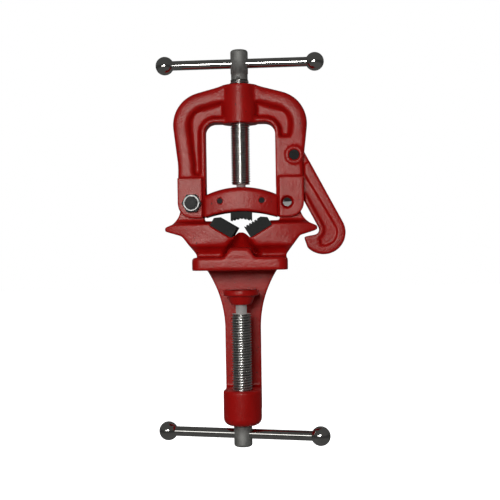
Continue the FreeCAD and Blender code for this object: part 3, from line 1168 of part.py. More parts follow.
def build():
    """Make every piece of the vise."""
    base_casting()
    for side in ("left", "right"):
        lower_jaw(side)
        lower_jaw_pin(side)
    hinge_bolt()
    hinge_nut()
    tube("hinge_nut_insert", "-pivot_x", "throat - bolt_face - nut_height", "pivot_height",
         "insert_radius - press_gap", "bolt_radius + press_gap", "collar_height - insert_sink")
    yoke_frame()
    round_pin("hook_pin", "hook_pin_x", "hook_pin_height", "hook_pin_radius",
              "yoke_half_depth + hook_ring_proud - hook_pin_sink")
    round_pin("closing_pin", "closing_pin_x", "pivot_height", "closing_pin_radius",
              "plate_half_depth - closing_pin_sink")
    latch_hook()
    jaw_carrier()
    upper_jaw()
    pin_half = "carrier_end_half + carrier_bow * (1 - (carrier_pin_x / carrier_half)^2) - carrier_pin_sink"
    for side, sign in (("left", "-"), ("right", "")):
        round_pin(f"upper_jaw_pin_{side}", f"{sign}carrier_pin_x", "carrier_pin_height", "carrier_pin_radius",
                  pin_half)
    main_screw()
    tube("nose_washer", "0", "throat", "washer_top - washer_thick", "washer_radius", "nose_radius + press_gap",
         "washer_thick", plane="XY")
    tube("nose_clip", "0", "throat", "clip_top - clip_thick", "clip_radius", "groove_radius + press_gap",
         "clip_thick", plane="XY")
    handle("main_handle", "throat", "main_handle_height", "main_handle_turn")
    clamp_screw()
    clamp_pad()
    pad_pin()
    handle("clamp_handle", "0", "-clamp_handle_drop", "clamp_handle_turn")


def check_and_write():
    """Stop on any failed object or bad shape, then write one file per piece."""
    doc.recompute()
    for thing in doc.Objects:
        if "Invalid" in thing.State or "Error" in thing.State:
            raise ValueError(f"{thing.Label} failed: {thing.State}")
    pieces = [thing for thing in doc.Objects if thing.TypeId == "PartDesign::Body"]
    for piece in pieces:
        if piece.Shape.isNull() or not piece.Shape.isValid() or len(piece.Shape.Solids) != 1:
            raise ValueError(f"{piece.Label} is not one valid solid")
    os.makedirs("parts", exist_ok=True)
    for piece in pieces:
        piece.Shape.exportStep(f"parts/{piece.Label}.step")
    print(len(pieces), "pieces written")


build()
check_and_write()
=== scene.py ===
import json
import math

import bmesh
import bpy
from mathutils import Matrix, Vector

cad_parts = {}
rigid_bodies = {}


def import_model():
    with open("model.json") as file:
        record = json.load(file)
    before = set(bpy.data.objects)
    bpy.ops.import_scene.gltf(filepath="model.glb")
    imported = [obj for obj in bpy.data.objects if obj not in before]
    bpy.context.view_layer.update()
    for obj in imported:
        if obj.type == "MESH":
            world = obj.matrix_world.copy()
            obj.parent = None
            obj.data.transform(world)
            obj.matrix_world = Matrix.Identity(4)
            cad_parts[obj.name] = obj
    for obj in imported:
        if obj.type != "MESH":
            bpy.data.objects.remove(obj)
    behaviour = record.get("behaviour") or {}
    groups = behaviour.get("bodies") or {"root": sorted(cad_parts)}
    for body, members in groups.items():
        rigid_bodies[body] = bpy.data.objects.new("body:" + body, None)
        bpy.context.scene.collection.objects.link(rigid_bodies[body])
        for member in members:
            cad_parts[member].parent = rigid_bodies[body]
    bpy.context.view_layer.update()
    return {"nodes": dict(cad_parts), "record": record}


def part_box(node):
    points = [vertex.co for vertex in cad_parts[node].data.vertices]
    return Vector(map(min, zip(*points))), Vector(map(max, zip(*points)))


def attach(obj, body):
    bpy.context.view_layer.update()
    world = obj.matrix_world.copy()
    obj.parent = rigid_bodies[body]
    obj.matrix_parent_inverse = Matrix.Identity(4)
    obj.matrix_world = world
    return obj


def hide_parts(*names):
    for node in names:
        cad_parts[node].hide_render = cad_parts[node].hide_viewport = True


# Yoke pipe vise: red enamelled castings, cut threads, blackened jaws and polished handles.
# Places are in metres in the frame's own axes: +X right, +Y away from the camera, +Z up.

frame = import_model()
nodes = frame["nodes"]
body_of_node = {
    node: body
    for body, members in frame["record"]["behaviour"]["bodies"].items()
    for node in members
}

MM = 0.001
FORWARD = (0, 1, 0)
UPWARD = (0, 0, 1)

# camera
EYE = Vector((0.037, -0.908, 0.019))
AIM = Vector((0.008, 0.042, 0.019))
ROLL = math.radians(0.9)
LENS = 68.0
SENSOR = 36.0
NEAREST = 0.01

# floor
FLOOR_HEIGHT = -0.262
FLOOR_SIZE = 12.0
FLOOR_GREY = 0.9
FLOOR_ROUGHNESS = 0.8
FLOOR_GLOW = 1.0

# how light the room is, as (place, light), from straight down at 0 to straight up at 1
ROOM = [(0.28, 0.10), (0.42, 0.05), (0.54, 0.05), (0.62, 0.09)]

# lights
FLASH_PLACE = Vector((-0.12, -1.02, 0.18))
FLASH_WIDTH = 0.30
FLASH_HEIGHT = 0.20
FLASH_POWER = 5.2
FILL_PLACE = Vector((-0.9, -0.9, 0.9))
FILL_SIZE = 0.8
FILL_POWER = 0.5
STRIP_PLACE = Vector((-0.48, -0.90, 0.06))
STRIP_WIDTH = 0.42
STRIP_HEIGHT = 0.22
STRIP_POWER = 0.8
LOW_PLACE = Vector((0.9, -0.5, -0.5))
LOW_SIZE = 0.6
LOW_POWER = 0.4
BACK_OUT = 0.9
BACK_BEHIND = 1.0
BACK_HEIGHT = 0.35
BACK_SIZE = 0.5
BACK_POWER = 7.0

# the part of a noise's range over which a finish changes
NOISE_LOW = 0.3
NOISE_HIGH = 0.7

# enamel: colours, roughness and shine, and its patterns' sizes in cells a metre
PAINT_DARK = (0.37, 0.0040, 0.0032)
PAINT_BRIGHT = (0.44, 0.0060, 0.0050)
PIT_COLOUR = (0.05, 0.008, 0.006)
PAINT_SMOOTH = 0.27
PAINT_ROUGH = 0.37
PAINT_SHINE = 0.29
PAINT_TINT = (1, 0.92, 0.84, 1)
PATCH_SCALE = 60
RIPPLE_SCALE = 160
SPECK_SCALE = 420
GRAIN_SCALE = 650

# threaded steel, and where its colour darkens towards the thread's root, as shares of the thread's
# radius
SCREW_COLOUR = (0.86, 0.86, 0.83)
SCREW_ROUGHNESS = 0.22
CLAMP_COLOUR = (0.84, 0.84, 0.81)
CLAMP_ROUGHNESS = 0.26
ROUGHNESS_RANGE = 0.05
CLOUD_SHADE = 0.78
CLOUD_SCALE = 140
RING_STRETCH = (60, 60, 4200)
ROOT_DARK_COLOUR = (0.05, 0.045, 0.035)
ROOT_DARK_SHARE = 0.5
ROOT_DARK_FULL = 0.86
ROOT_DARK_END = 0.95

# handles
HANDLE_DARK = (0.50, 0.49, 0.46)
HANDLE_BRIGHT = (0.62, 0.61, 0.58)
HANDLE_SMOOTH = 0.07
HANDLE_ROUGH = 0.13
SMEAR_SCALE = 90
POLISH_SCALE = 260

# jaws
JAW_DARK = (0.004, 0.005, 0.004)
JAW_BRIGHT = (0.020, 0.021, 0.020)
JAW_SMOOTH = 0.42
JAW_ROUGH = 0.60
JAW_METALLIC = 0.1
JAW_SHINE = 0.14
BLOOM_SCALE = 210
JAW_GRAIN_SCALE = 1100

# plain finishes: dark colour, bright colour, how metallic, least and most roughness
PLAIN_FINISHES = {
    "dull_head_steel": ((0.24, 0.24, 0.225), (0.38, 0.38, 0.36), 0.8, 0.60, 0.75),
    "bright_nose_steel": ((0.70, 0.70, 0.67), (0.88, 0.88, 0.85), 0.4, 0.35, 0.45),
    "zinc_fastener": ((0.22, 0.22, 0.21), (0.34, 0.34, 0.33), 1.0, 0.42, 0.55),
    "black_bolt_steel": ((0.010, 0.010, 0.009), (0.028, 0.028, 0.026), 0.2, 0.45, 0.60),
    "black_insert": ((0.006, 0.006, 0.006), (0.014, 0.014, 0.014), 0.0, 0.40, 0.60),
    "dark_pin_steel": ((0.002, 0.002, 0.002), (0.010, 0.010, 0.009), 0.0, 0.55, 0.70),
    "plain_pin_steel": ((0.20, 0.20, 0.19), (0.32, 0.32, 0.31), 0.7, 0.50, 0.65),
}
PLAIN_SCALE = 260
PLAIN_SHINE = 0.25

# closing pin: painted shadow, the shade of its counterbore, above a share of its height
PIN_SPLIT = 0.55
PAINTED_SHADOW_COLOUR = (0.004, 0.004, 0.004)

# casting skins; a crisp place gives way to the rounding over CRISP_FADE voxels
CAST_VOXEL = 1.1 * MM
SMALL_CAST_VOXEL = 0.8 * MM
PAD_VOXEL = 0.6 * MM
CAST_ROUND = 1.3 * MM
YOKE_ROUND = 0.75 * MM
HOOK_ROUND = 1.5 * MM
BROAD_ROUND = 3.4 * MM
GRAIN_DEPTH = 0.12 * MM
GRAIN_SIZE = 3.0 * MM
CRISP_FADE = 2

# over how far a rounding or a shift of the skin comes in
FADE = 3.0 * MM
WIDE_FADE = 4.0 * MM
COVE_FADE = 8.0 * MM
SHORT_FADE = 1.0 * MM

# yoke's rim
WINDOW_HALF = 35.0 * MM
WINDOW_TOP = 146.5 * MM
FOOT_TOP = 91.5 * MM
HOOK_PLATE_TOP = 131.0 * MM
PLATE_CLEAR = 2.0 * MM
BOSS_RADIUS = 18.0 * MM
BOSS_CLEAR = 1.0 * MM
RIM_START = 11.0 * MM
RIM_FADE = 2.5 * MM

# carrier's arched edge and crowned faces; EDGE_START and EDGE_FADE are shares of half its depth
CARRIER_EDGE = 5.0 * MM
CARRIER_CROWN = 1.8 * MM
CARRIER_SIDE = 74.0 * MM
EDGE_START = 0.2
EDGE_FADE = 0.4

# base's wings, the cove between its block and shelf, and the hollow under its jaws
WING_START = 22.0 * MM
WING_TIP = 76.0 * MM
WING_TOP = 60.0 * MM
WING_SWEEP = 5.0 * MM
SWEEP_DEPTH = 2.0 * MM
COVE_BOTTOM = 14.5 * MM
COVE_TOP = 32.0 * MM
SCOOP_HALF = 19.0 * MM
SCOOP_BOTTOM = 14.0 * MM
SCOOP_TOP = 39.0 * MM
SCOOP_SLOPE = 0.7
SCOOP_DEPTH = 14.0 * MM
SCOOP_REACH = 12.0 * MM
SCOOP_FADE = 3.6 * MM
JAW_SETBACK = 1.0 * MM

# how far round a pin or a bore the casting was machined
CLOSING_PIN_ROOM = 2.2 * MM
HOOK_PIN_ROOM = 4.5 * MM
JAW_PIN_ROOM = 1.0 * MM
BORE_ROOM = 1.0 * MM

# lock nut's bright collar, and how near to it a face may lie to count as part of it
COLLAR_RADIUS = 8.0 * MM
COLLAR_HEIGHT = 3.0 * MM
COLLAR_NEAR = 0.1 * MM

# threads, with the shares of a turn that are flat crest and flat root; their rows start
# TURNS_BELOW turns under the rod, so that the helix is whole from its low end on
PITCH = 2.5 * MM
THREAD_RADIUS = 9.5 * MM
THREAD_DEPTH = 1.5 * MM
THREAD_CREST = 0.27
THREAD_ROOT = 0.13
THREAD_SIDES = 72
THREAD_ROWS = 10
THREAD_LEAD_IN = 1.3 * MM
TURNS_BELOW = 2

# lengths left plain at the lower and the upper end of each screw
MAIN_PLAIN = (22.4 * MM, 30.2 * MM)
CLAMP_PLAIN = (20.2 * MM, 19.0 * MM)

# mesh work: points this near are joined, or count as lying on a plane
CAD_WELD = 0.002 * MM
WELD = 0.0001 * MM
ON_PLANE = 0.001 * MM
SHARP_ANGLE = math.radians(40)

# places worked out from the frame
yoke_y = sum(corner.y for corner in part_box("main_screw")) / 2
carrier_low, carrier_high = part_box("jaw_carrier")
block_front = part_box("lower_jaw_left")[0].y - JAW_SETBACK
nut_low, nut_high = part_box("hinge_nut")
nut_middle = (nut_low + nut_high) / 2


def clear_start():
    """Take away the light and the camera that a Blender file starts with."""
    for thing in list(bpy.data.objects):
        if thing.type in {"LIGHT", "CAMERA"}:
            bpy.data.objects.remove(thing)


def add_camera():
    """The photograph's view: far in front, level, rolled by a little."""
    data = bpy.data.cameras.new("camera")
    data.lens = LENS
    data.sensor_width = SENSOR
    data.clip_start = NEAREST
    camera = bpy.data.objects.new("camera", data)
    bpy.context.scene.collection.objects.link(camera)
    aim = (AIM - EYE).to_track_quat("-Z", "Y").to_matrix().to_4x4()
    camera.matrix_world = Matrix.Translation(EYE) @ aim @ Matrix.Rotation(-ROLL, 4, "Z")
    bpy.context.scene.camera = camera


def add_light(name, place, width, height, power, mirrored=True):
    """A soft light that faces the object's middle, mirrored in polished metal or not."""
    data = bpy.data.lights.new(name, "AREA")
    data.shape = "RECTANGLE"
    data.size = width
    data.size_y = height
    data.energy = power
    light = bpy.data.objects.new(name, data)
    light.location = place
    light.rotation_mode = "QUATERNION"
    light.rotation_quaternion = (AIM - place).to_track_quat("-Z", "Y")
    light.visible_glossy = mirrored
    bpy.context.scene.collection.objects.link(light)


def add_world():
    """A dark room, a little lighter above and below, which the camera itself sees as white."""
    world = bpy.data.worlds.new("studio")
    world.use_nodes = True
    tree = world.node_tree
    tree.nodes.clear()
    direction = split(tree, tree.nodes.new("ShaderNodeTexCoord").outputs["Generated"])
    rise = math_node(tree, "MULTIPLY_ADD", direction["Z"], 0.5, 0.5)
    stops = [(place, grey(light)) for place, light in ROOM]
    room = tree.nodes.new("ShaderNodeBackground")
    tree.links.new(ramp(tree, rise, stops), room.inputs["Color"])
    white = tree.nodes.new("ShaderNodeBackground")
    white.inputs["Color"].default_value = (1, 1, 1, 1)
    path = tree.nodes.new("ShaderNodeLightPath")
    mix = tree.nodes.new("ShaderNodeMixShader")
    out = tree.nodes.new("ShaderNodeOutputWorld")
    tree.links.new(path.outputs["Is Camera Ray"], mix.inputs["Fac"])
    tree.links.new(room.outputs[0], mix.inputs[1])
    tree.links.new(white.outputs[0], mix.inputs[2])
    tree.links.new(mix.outputs[0], out.inputs["Surface"])
    bpy.context.scene.world = world


def add_floor():
    """A plain pale floor well below the object, which isn't mirrored in it."""
    mesh = bpy.data.meshes.new("floor")
    half = FLOOR_SIZE / 2
    corners = [(-half, -half, 0), (half, -half, 0), (half, half, 0), (-half, half, 0)]
    mesh.from_pydata(corners, [], [(0, 1, 2, 3)])
    floor = bpy.data.objects.new("floor", mesh)
    floor.location = (0, 0, FLOOR_HEIGHT)
    floor.visible_glossy = False
    floor.visible_diffuse = False
    bpy.context.scene.collection.objects.link(floor)
    material, tree, shader = new_material("pale_floor")
    shader.inputs["Base Color"].default_value = (*grey(FLOOR_GREY), 1)
    shader.inputs["Roughness"].default_value = FLOOR_ROUGHNESS
    shader.inputs["Emission Color"].default_value = (1, 1, 1, 1)
    shader.inputs["Emission Strength"].default_value = FLOOR_GLOW
    mesh.materials.append(material)


def new_material(name):
    """A material with its tree and its main shader."""
    material = bpy.data.materials.new(name)
    material.use_nodes = True
    tree = material.node_tree
    return material, tree, tree.nodes["Principled BSDF"]


def place_coordinates(tree):
    """Where a point lies on its piece, in metres in the frame's axes at rest."""
    return tree.nodes.new("ShaderNodeTexCoord").outputs["Object"]


def split(tree, source):
    """The sockets X, Y and Z of a place or a direction."""
    node = tree.nodes.new("ShaderNodeSeparateXYZ")
    tree.links.new(source, node.inputs["Vector"])
    return node.outputs


def noise(tree, scale, detail, roughness=0.5, stretch=None):
    """Noise over the piece; scale is in cells a metre, stretch squeezes it along the axes."""
    node = tree.nodes.new("ShaderNodeTexNoise")
    node.inputs["Scale"].default_value = scale
    node.inputs["Detail"].default_value = detail
    node.inputs["Roughness"].default_value = roughness
    source = place_coordinates(tree)
    if stretch:
        mapping = tree.nodes.new("ShaderNodeMapping")
        mapping.inputs["Scale"].default_value = stretch
        tree.links.new(source, mapping.inputs["Vector"])
        source = mapping.outputs["Vector"]
    tree.links.new(source, node.inputs["Vector"])
    return node.outputs["Fac"]


def ramp(tree, source, stops):
    """A ramp from a grey value to colours; each stop is (place, colour)."""
    node = tree.nodes.new("ShaderNodeValToRGB")
    elements = node.color_ramp.elements
    while len(elements) < len(stops):
        elements.new(0.5)
    for element, (place, colour) in zip(elements, stops):
        element.position = place
        element.color = (*colour, 1)
    tree.links.new(source, node.inputs["Fac"])
    return node.outputs["Color"]


def grey(value):
    """The same number in all three channels."""
    return (value, value, value)


def uneven(tree, source, first, second, low=NOISE_LOW, high=NOISE_HIGH):
    """Colours or numbers that go from the first to the second as a noise rises from low to high."""
    if isinstance(first, float):
        first, second = grey(first), grey(second)
    return ramp(tree, source, [(low, first), (high, second)])


def math_node(tree, operation, *sources):
    """One sum of values or sockets."""
    node = tree.nodes.new("ShaderNodeMath")
    node.operation = operation
    for socket, source in zip(node.inputs, sources):
        if isinstance(source, (int, float)):
            socket.default_value = source
        else:
            tree.links.new(source, socket)
    return node.outputs[0]


def mix_colour(tree, share, first, second):
    """A mix of two colours or sockets by a share."""
    node = tree.nodes.new("ShaderNodeMix")
    node.data_type = "RGBA"
    tree.links.new(share, node.inputs["Factor"])
    for socket, source in ((node.inputs["A"], first), (node.inputs["B"], second)):
        if isinstance(source, tuple):
            socket.default_value = (*source, 1)
        else:
            tree.links.new(source, socket)
    return node.outputs["Result"]


def bump(tree, shader, layers):
    """Bumps on the surface; each layer is (height source, strength, depth in metres)."""
    normal = None
    for height, strength, depth in layers:
        node = tree.nodes.new("ShaderNodeBump")
        node.inputs["Strength"].default_value = strength
        node.inputs["Distance"].default_value = depth
        tree.links.new(height, node.inputs["Height"])
        if normal is not None:
            tree.links.new(normal, node.inputs["Normal"])
        normal = node.outputs["Normal"]
    tree.links.new(normal, shader.inputs["Normal"])


def red_enamel():
    """Red enamel over slightly grainy cast iron, uneven in colour, with a few dark pits."""
    material, tree, shader = new_material("red_enamel")
    patches = noise(tree, PATCH_SCALE, detail=4)
    grain = noise(tree, GRAIN_SCALE, detail=3, roughness=0.6)
    specks = noise(tree, SPECK_SCALE, detail=1)
    paint = uneven(tree, patches, PAINT_DARK, PAINT_BRIGHT)
    pits = uneven(tree, specks, 1.0, 0.0, low=0.24, high=0.27)
    tree.links.new(mix_colour(tree, pits, paint, PIT_COLOUR), shader.inputs["Base Color"])
    tree.links.new(uneven(tree, grain, PAINT_SMOOTH, PAINT_ROUGH), shader.inputs["Roughness"])
    shader.inputs["Specular IOR Level"].default_value = PAINT_SHINE
    shader.inputs["Specular Tint"].default_value = PAINT_TINT
    bump(tree, shader, [
        (grain, 1.0, 0.20 * MM),
        (specks, 0.5, 0.20 * MM),
        (noise(tree, RIPPLE_SCALE, detail=2), 0.4, 0.4 * MM),
    ])
    return material


def turned_steel(name, colour, roughness, axis_y):
    """Turned steel round a vertical axis: fine rings, a cloudy sheen and a colour that darkens
    towards the roots of the grooves.
    """
    material, tree, shader = new_material(name)
    rings = noise(tree, 1.0, detail=3, stretch=RING_STRETCH)
    cloud = noise(tree, CLOUD_SCALE, detail=4)
    bright = uneven(tree, cloud, tuple(CLOUD_SHADE * part for part in colour), colour)
    place = split(tree, place_coordinates(tree))
    across = math_node(tree, "SUBTRACT", place["Y"], axis_y)
    squares = [math_node(tree, "MULTIPLY", part, part) for part in (place["X"], across)]
    from_axis = math_node(tree, "SQRT", math_node(tree, "ADD", *squares))
    share = math_node(tree, "DIVIDE", from_axis, THREAD_RADIUS)
    # darker towards the thread's root, by the distance from the axis
    root_dark = uneven(tree, share, ROOT_DARK_SHARE, 0.0, low=ROOT_DARK_FULL, high=ROOT_DARK_END)
    tree.links.new(mix_colour(tree, root_dark, bright, ROOT_DARK_COLOUR), shader.inputs["Base Color"])
    shader.inputs["Metallic"].default_value = 1.0
    least, most = roughness - ROUGHNESS_RANGE, roughness + ROUGHNESS_RANGE
    tree.links.new(uneven(tree, rings, least, most), shader.inputs["Roughness"])
    bump(tree, shader, [(rings, 0.08, 0.02 * MM)])
    return material


def polished_steel():
    """Polished and plated steel of the handles, with faint smears."""
    material, tree, shader = new_material("polished_handle_steel")
    smears = noise(tree, SMEAR_SCALE, detail=5, roughness=0.6)
    roughness = uneven(tree, smears, HANDLE_SMOOTH, HANDLE_ROUGH, low=0.35, high=0.75)
    tree.links.new(uneven(tree, smears, HANDLE_DARK, HANDLE_BRIGHT), shader.inputs["Base Color"])
    tree.links.new(roughness, shader.inputs["Roughness"])
    shader.inputs["Metallic"].default_value = 1.0
    bump(tree, shader, [(noise(tree, POLISH_SCALE, detail=2), 0.05, 0.03 * MM)])
    return material


def black_oxide():
    """Blackened hardened steel of the jaws, with a dusty bloom."""
    material, tree, shader = new_material("black_jaw_steel")
    bloom = noise(tree, BLOOM_SCALE, detail=5, roughness=0.65)
    colour = uneven(tree, bloom, JAW_DARK, JAW_BRIGHT, low=0.35, high=0.72)
    tree.links.new(colour, shader.inputs["Base Color"])
    tree.links.new(uneven(tree, bloom, JAW_SMOOTH, JAW_ROUGH), shader.inputs["Roughness"])
    shader.inputs["Metallic"].default_value = JAW_METALLIC
    shader.inputs["Specular IOR Level"].default_value = JAW_SHINE
    bump(tree, shader, [
        (noise(tree, JAW_GRAIN_SCALE, detail=2), 0.3, 0.06 * MM),
        (bloom, 0.3, 0.12 * MM),
    ])
    return material


def plain_finish(name, dark, bright, metallic, smooth, rough):
    """A simple metal or plastic finish: cloudy colour, uneven roughness and fine bumps."""
    material, tree, shader = new_material(name)
    cloud = noise(tree, PLAIN_SCALE, detail=4, roughness=0.6)
    tree.links.new(uneven(tree, cloud, dark, bright, low=0.32), shader.inputs["Base Color"])
    tree.links.new(uneven(tree, cloud, smooth, rough), shader.inputs["Roughness"])
    shader.inputs["Metallic"].default_value = metallic
    shader.inputs["Specular IOR Level"].default_value = PLAIN_SHINE
    bump(tree, shader, [(noise(tree, 4 * PLAIN_SCALE, detail=2), 0.25, 0.04 * MM)])
    return material


def paint_pin_shadow(material, node):
    """Paint a shadow on the upper part of a pin's end: painted shade from its counterbore's upper
    edge, over its bright lower part.
    """
    tree = material.node_tree
    shader = tree.nodes["Principled BSDF"]
    bright = shader.inputs["Base Color"].links[0].from_socket
    low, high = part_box(node)
    edge = low.z + PIN_SPLIT * (high.z - low.z)
    painted_shadow = math_node(tree, "GREATER_THAN", split(tree, place_coordinates(tree))["Z"], edge)
    # painted shadow above the split: a flat dark colour, not metallic
    tree.links.new(mix_colour(tree, painted_shadow, bright, PAINTED_SHADOW_COLOUR), shader.inputs["Base Color"])
    tree.links.new(math_node(tree, "SUBTRACT", 1.0, painted_shadow), shader.inputs["Metallic"])


def node_copy(node, name):
    """A new object with its own copy of a CAD node's mesh, its doubled points joined."""
    mesh = nodes[node].data.copy()
    mesh.materials.clear()
    work = bmesh.new()
    work.from_mesh(mesh)
    bmesh.ops.remove_doubles(work, verts=work.verts, dist=CAD_WELD)
    bmesh.ops.recalc_face_normals(work, faces=work.faces)
    work.to_mesh(mesh)
    work.free()
    copy = bpy.data.objects.new(name, mesh)
    bpy.context.scene.collection.objects.link(copy)
    return copy


def stand_for(piece, node):
    """Let a piece move with a CAD node's body and be seen in the node's place."""
    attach(piece, body_of_node[node])
    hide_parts(node)


def apply_modifiers(piece):
    """Keep what the modifiers make as the piece's own mesh."""
    bpy.context.view_layer.update()
    graph = bpy.context.evaluated_depsgraph_get()
    mesh = bpy.data.meshes.new_from_object(piece.evaluated_get(graph))
    piece.modifiers.clear()
    piece.data = mesh


def distance_from_line(point, start, along):
    """How far a point is from a line through start."""
    offset = point - start
    return (offset - along * offset.dot(along)).length


def share_from(value, start, fade):
    """0 up to start, 1 from a fade's length further on, and even between them."""
    return max(0.0, min(1.0, (value - start) / fade))


def weigh(piece, name, share_at):
    """A vertex group whose weights come from a point's place."""
    group = piece.vertex_groups.new(name=name)
    for vertex in piece.data.vertices:
        group.add([vertex.index], share_at(vertex.co), "REPLACE")
    return group.name


def smooth_out(piece, group, voxel, spread):
    """Relax the skin where the group lets it, until its edges are rounded by about the spread."""
    smooth = piece.modifiers.new(f"{group}_rounds", "SMOOTH")
    smooth.factor = 0.5
    smooth.iterations = round((2 * spread / voxel) ** 2)
    smooth.vertex_group = group


def cast(node, material, voxel=CAST_VOXEL, spread=CAST_ROUND, crisp=(), broad=None, move=None):
    """A casting's skin over a CAD node: edges rounded as from a mould, with a faint waviness.

    crisp lists machined places as (point, axis, radius), where edges stay as they are. broad gives
    the share of the widest rounding at a point, and move gives a point's own shift.
    """
    piece = node_copy(node, f"{node}_cast")
    remesh = piece.modifiers.new("skin", "REMESH")
    remesh.mode = "VOXEL"
    remesh.voxel_size = voxel
    remesh.use_smooth_shade = True
    apply_modifiers(piece)
    if move:
        for vertex in piece.data.vertices:
            vertex.co += move(vertex.co)
    machined = [(Vector(point), Vector(axis), radius) for point, axis, radius in crisp]

    def softness(place):
        shares = [
            share_from(distance_from_line(place, start, along), radius, CRISP_FADE * voxel)
            for start, along, radius in machined
        ]
        return min(shares, default=1.0)

    def broad_softness(place):
        return broad(place) * softness(place)

    if broad:
        smooth_out(piece, weigh(piece, "broad", broad_softness), voxel, BROAD_ROUND)
    soft = weigh(piece, "soft", softness)
    smooth_out(piece, soft, voxel, spread)
    texture = bpy.data.textures.new(f"{node}_waviness", "CLOUDS")
    texture.noise_scale = GRAIN_SIZE
    texture.noise_depth = 2
    waves = piece.modifiers.new("waviness", "DISPLACE")
    waves.texture = texture
    waves.texture_coords = "LOCAL"
    waves.strength = GRAIN_DEPTH
    waves.mid_level = 1.0
    waves.vertex_group = soft
    apply_modifiers(piece)
    piece.data.materials.append(material)
    piece.data.shade_smooth()
    stand_for(piece, node)


def pin_places(room, *pins):
    """Machined places round pins that lie along the depth, each wider than its pin by the room."""
    places = []
    for pin in pins:
        low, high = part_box(pin)
        places.append(((low + high) / 2, FORWARD, (high.x - low.x) / 2 + room))
    return places


def yoke_rim(place):
    """Where the yoke's rim is rounded most: outside the window's bead, above the flat plates."""
    outward = max(abs(place.x) - WINDOW_HALF, place.z - WINDOW_TOP)
    plate_top = HOOK_PLATE_TOP if place.x > 0 else FOOT_TOP
    return (
        share_from(outward, RIM_START, RIM_FADE)
        * share_from(place.z, plate_top + PLATE_CLEAR, FADE)
        * share_from(abs(place.x), BOSS_RADIUS + BOSS_CLEAR, FADE)
    )


def carrier_edge(place):
    """The shift in depth that rounds the carrier's arched upper edges and crowns its faces."""
    out = (place.x / carrier_high.x) ** 2
    arch = carrier_high.z - (carrier_high.z - CARRIER_SIDE) * out
    up = max(0.0, min(CARRIER_EDGE, place.z - arch + CARRIER_EDGE))
    inward = CARRIER_EDGE - math.sqrt(CARRIER_EDGE ** 2 - up ** 2) + CARRIER_CROWN * out
    across = place.y - yoke_y
    half = (carrier_high.y - carrier_low.y) / 2
    share = share_from(abs(across), EDGE_START * half, EDGE_FADE * half)
    return Vector((0, -math.copysign(share * inward, across), 0))


def block_foot(place):
    """Where the cove between the block and the shelf is rounded most."""
    return share_from(place.z, COVE_BOTTOM, FADE) * share_from(COVE_TOP - place.z, 0.0, WIDE_FADE)


def wing_sweep(place):
    """How far the block's front face falls back towards the tips of its wings."""
    out = share_from(abs(place.x), WING_START, WING_TIP - WING_START)
    share = (
        share_from(place.z, COVE_TOP - COVE_FADE, COVE_FADE)
        * (1 - share_from(place.z, WING_TOP, WIDE_FADE))
        * (1 - share_from(place.y, block_front + SWEEP_DEPTH, SCOOP_REACH - SWEEP_DEPTH))
    )
    return WING_SWEEP * share * out ** 2


def scoop(place):
    """How deep the block's front face is hollowed under the jaws, deeper towards the shelf."""
    half = SCOOP_HALF * (SCOOP_TOP - place.z) / (SCOOP_TOP - SCOOP_BOTTOM)
    share = (
        share_from(half - abs(place.x), 0.0, FADE)
        * share_from(place.z, SCOOP_BOTTOM - SHORT_FADE, 2 * SHORT_FADE)
        * share_from(place.y, block_front - SHORT_FADE, SHORT_FADE)
        * (1 - share_from(place.y, block_front + SCOOP_REACH, SCOOP_FADE))
    )
    return share * min(SCOOP_DEPTH, SCOOP_SLOPE * max(0.0, SCOOP_TOP - place.z))


def block_face(place):
    """The shift of a point of the base: its swept wings, and the hollow under its jaws."""
    return Vector((0, wing_sweep(place) + scoop(place), 0))


def thread_radius(share):
    """The thread's radius at a share of its pitch: flat crest, sloping flank, flat root, flank."""
    slope = (1 - THREAD_CREST - THREAD_ROOT) / 2
    if share < THREAD_CREST:
        return THREAD_RADIUS
    if share < THREAD_CREST + slope:
        return THREAD_RADIUS - THREAD_DEPTH * (share - THREAD_CREST) / slope
    if share < THREAD_CREST + slope + THREAD_ROOT:
        return THREAD_RADIUS - THREAD_DEPTH
    return THREAD_RADIUS - THREAD_DEPTH * (1 - share) / slope


def threaded_rod(name, axis_y, low, high):
    """A closed threaded rod from low to high: rows that climb with the helix, cut off square."""
    work = bmesh.new()
    core = THREAD_RADIUS - THREAD_DEPTH
    rows = math.ceil((high - low) / PITCH + TURNS_BELOW) * THREAD_ROWS
    grid = []
    for row in range(rows + THREAD_ROWS + 1):
        section = thread_radius(row % THREAD_ROWS / THREAD_ROWS)
        ring = []
        for side in range(THREAD_SIDES):
            turn = side / THREAD_SIDES
            climbed = low + (row / THREAD_ROWS + turn - TURNS_BELOW) * PITCH
            height = max(low, min(high, climbed))
            from_end = min(height - low, high - height)
            radius = min(section, core + from_end * THREAD_DEPTH / THREAD_LEAD_IN)
            angle = 2 * math.pi * turn
            corner = (radius * math.cos(angle), axis_y + radius * math.sin(angle), height)
            ring.append(work.verts.new(corner))
        grid.append(ring)
    for row in range(rows):
        # a row's last side meets the first corner of the row one turn further up
        here = grid[row] + grid[row + THREAD_ROWS][:1]
        there = grid[row + 1] + grid[row + 1 + THREAD_ROWS][:1]
        for side in range(THREAD_SIDES):
            work.faces.new((here[side], here[side + 1], there[side + 1], there[side]))
    bmesh.ops.remove_doubles(work, verts=work.verts, dist=WELD)
    bmesh.ops.dissolve_degenerate(work, edges=work.edges, dist=WELD)
    bmesh.ops.holes_fill(work, edges=[edge for edge in work.edges if edge.is_boundary])
    bmesh.ops.recalc_face_normals(work, faces=work.faces)
    mesh = bpy.data.meshes.new(name)
    work.to_mesh(mesh)
    work.free()
    return mesh


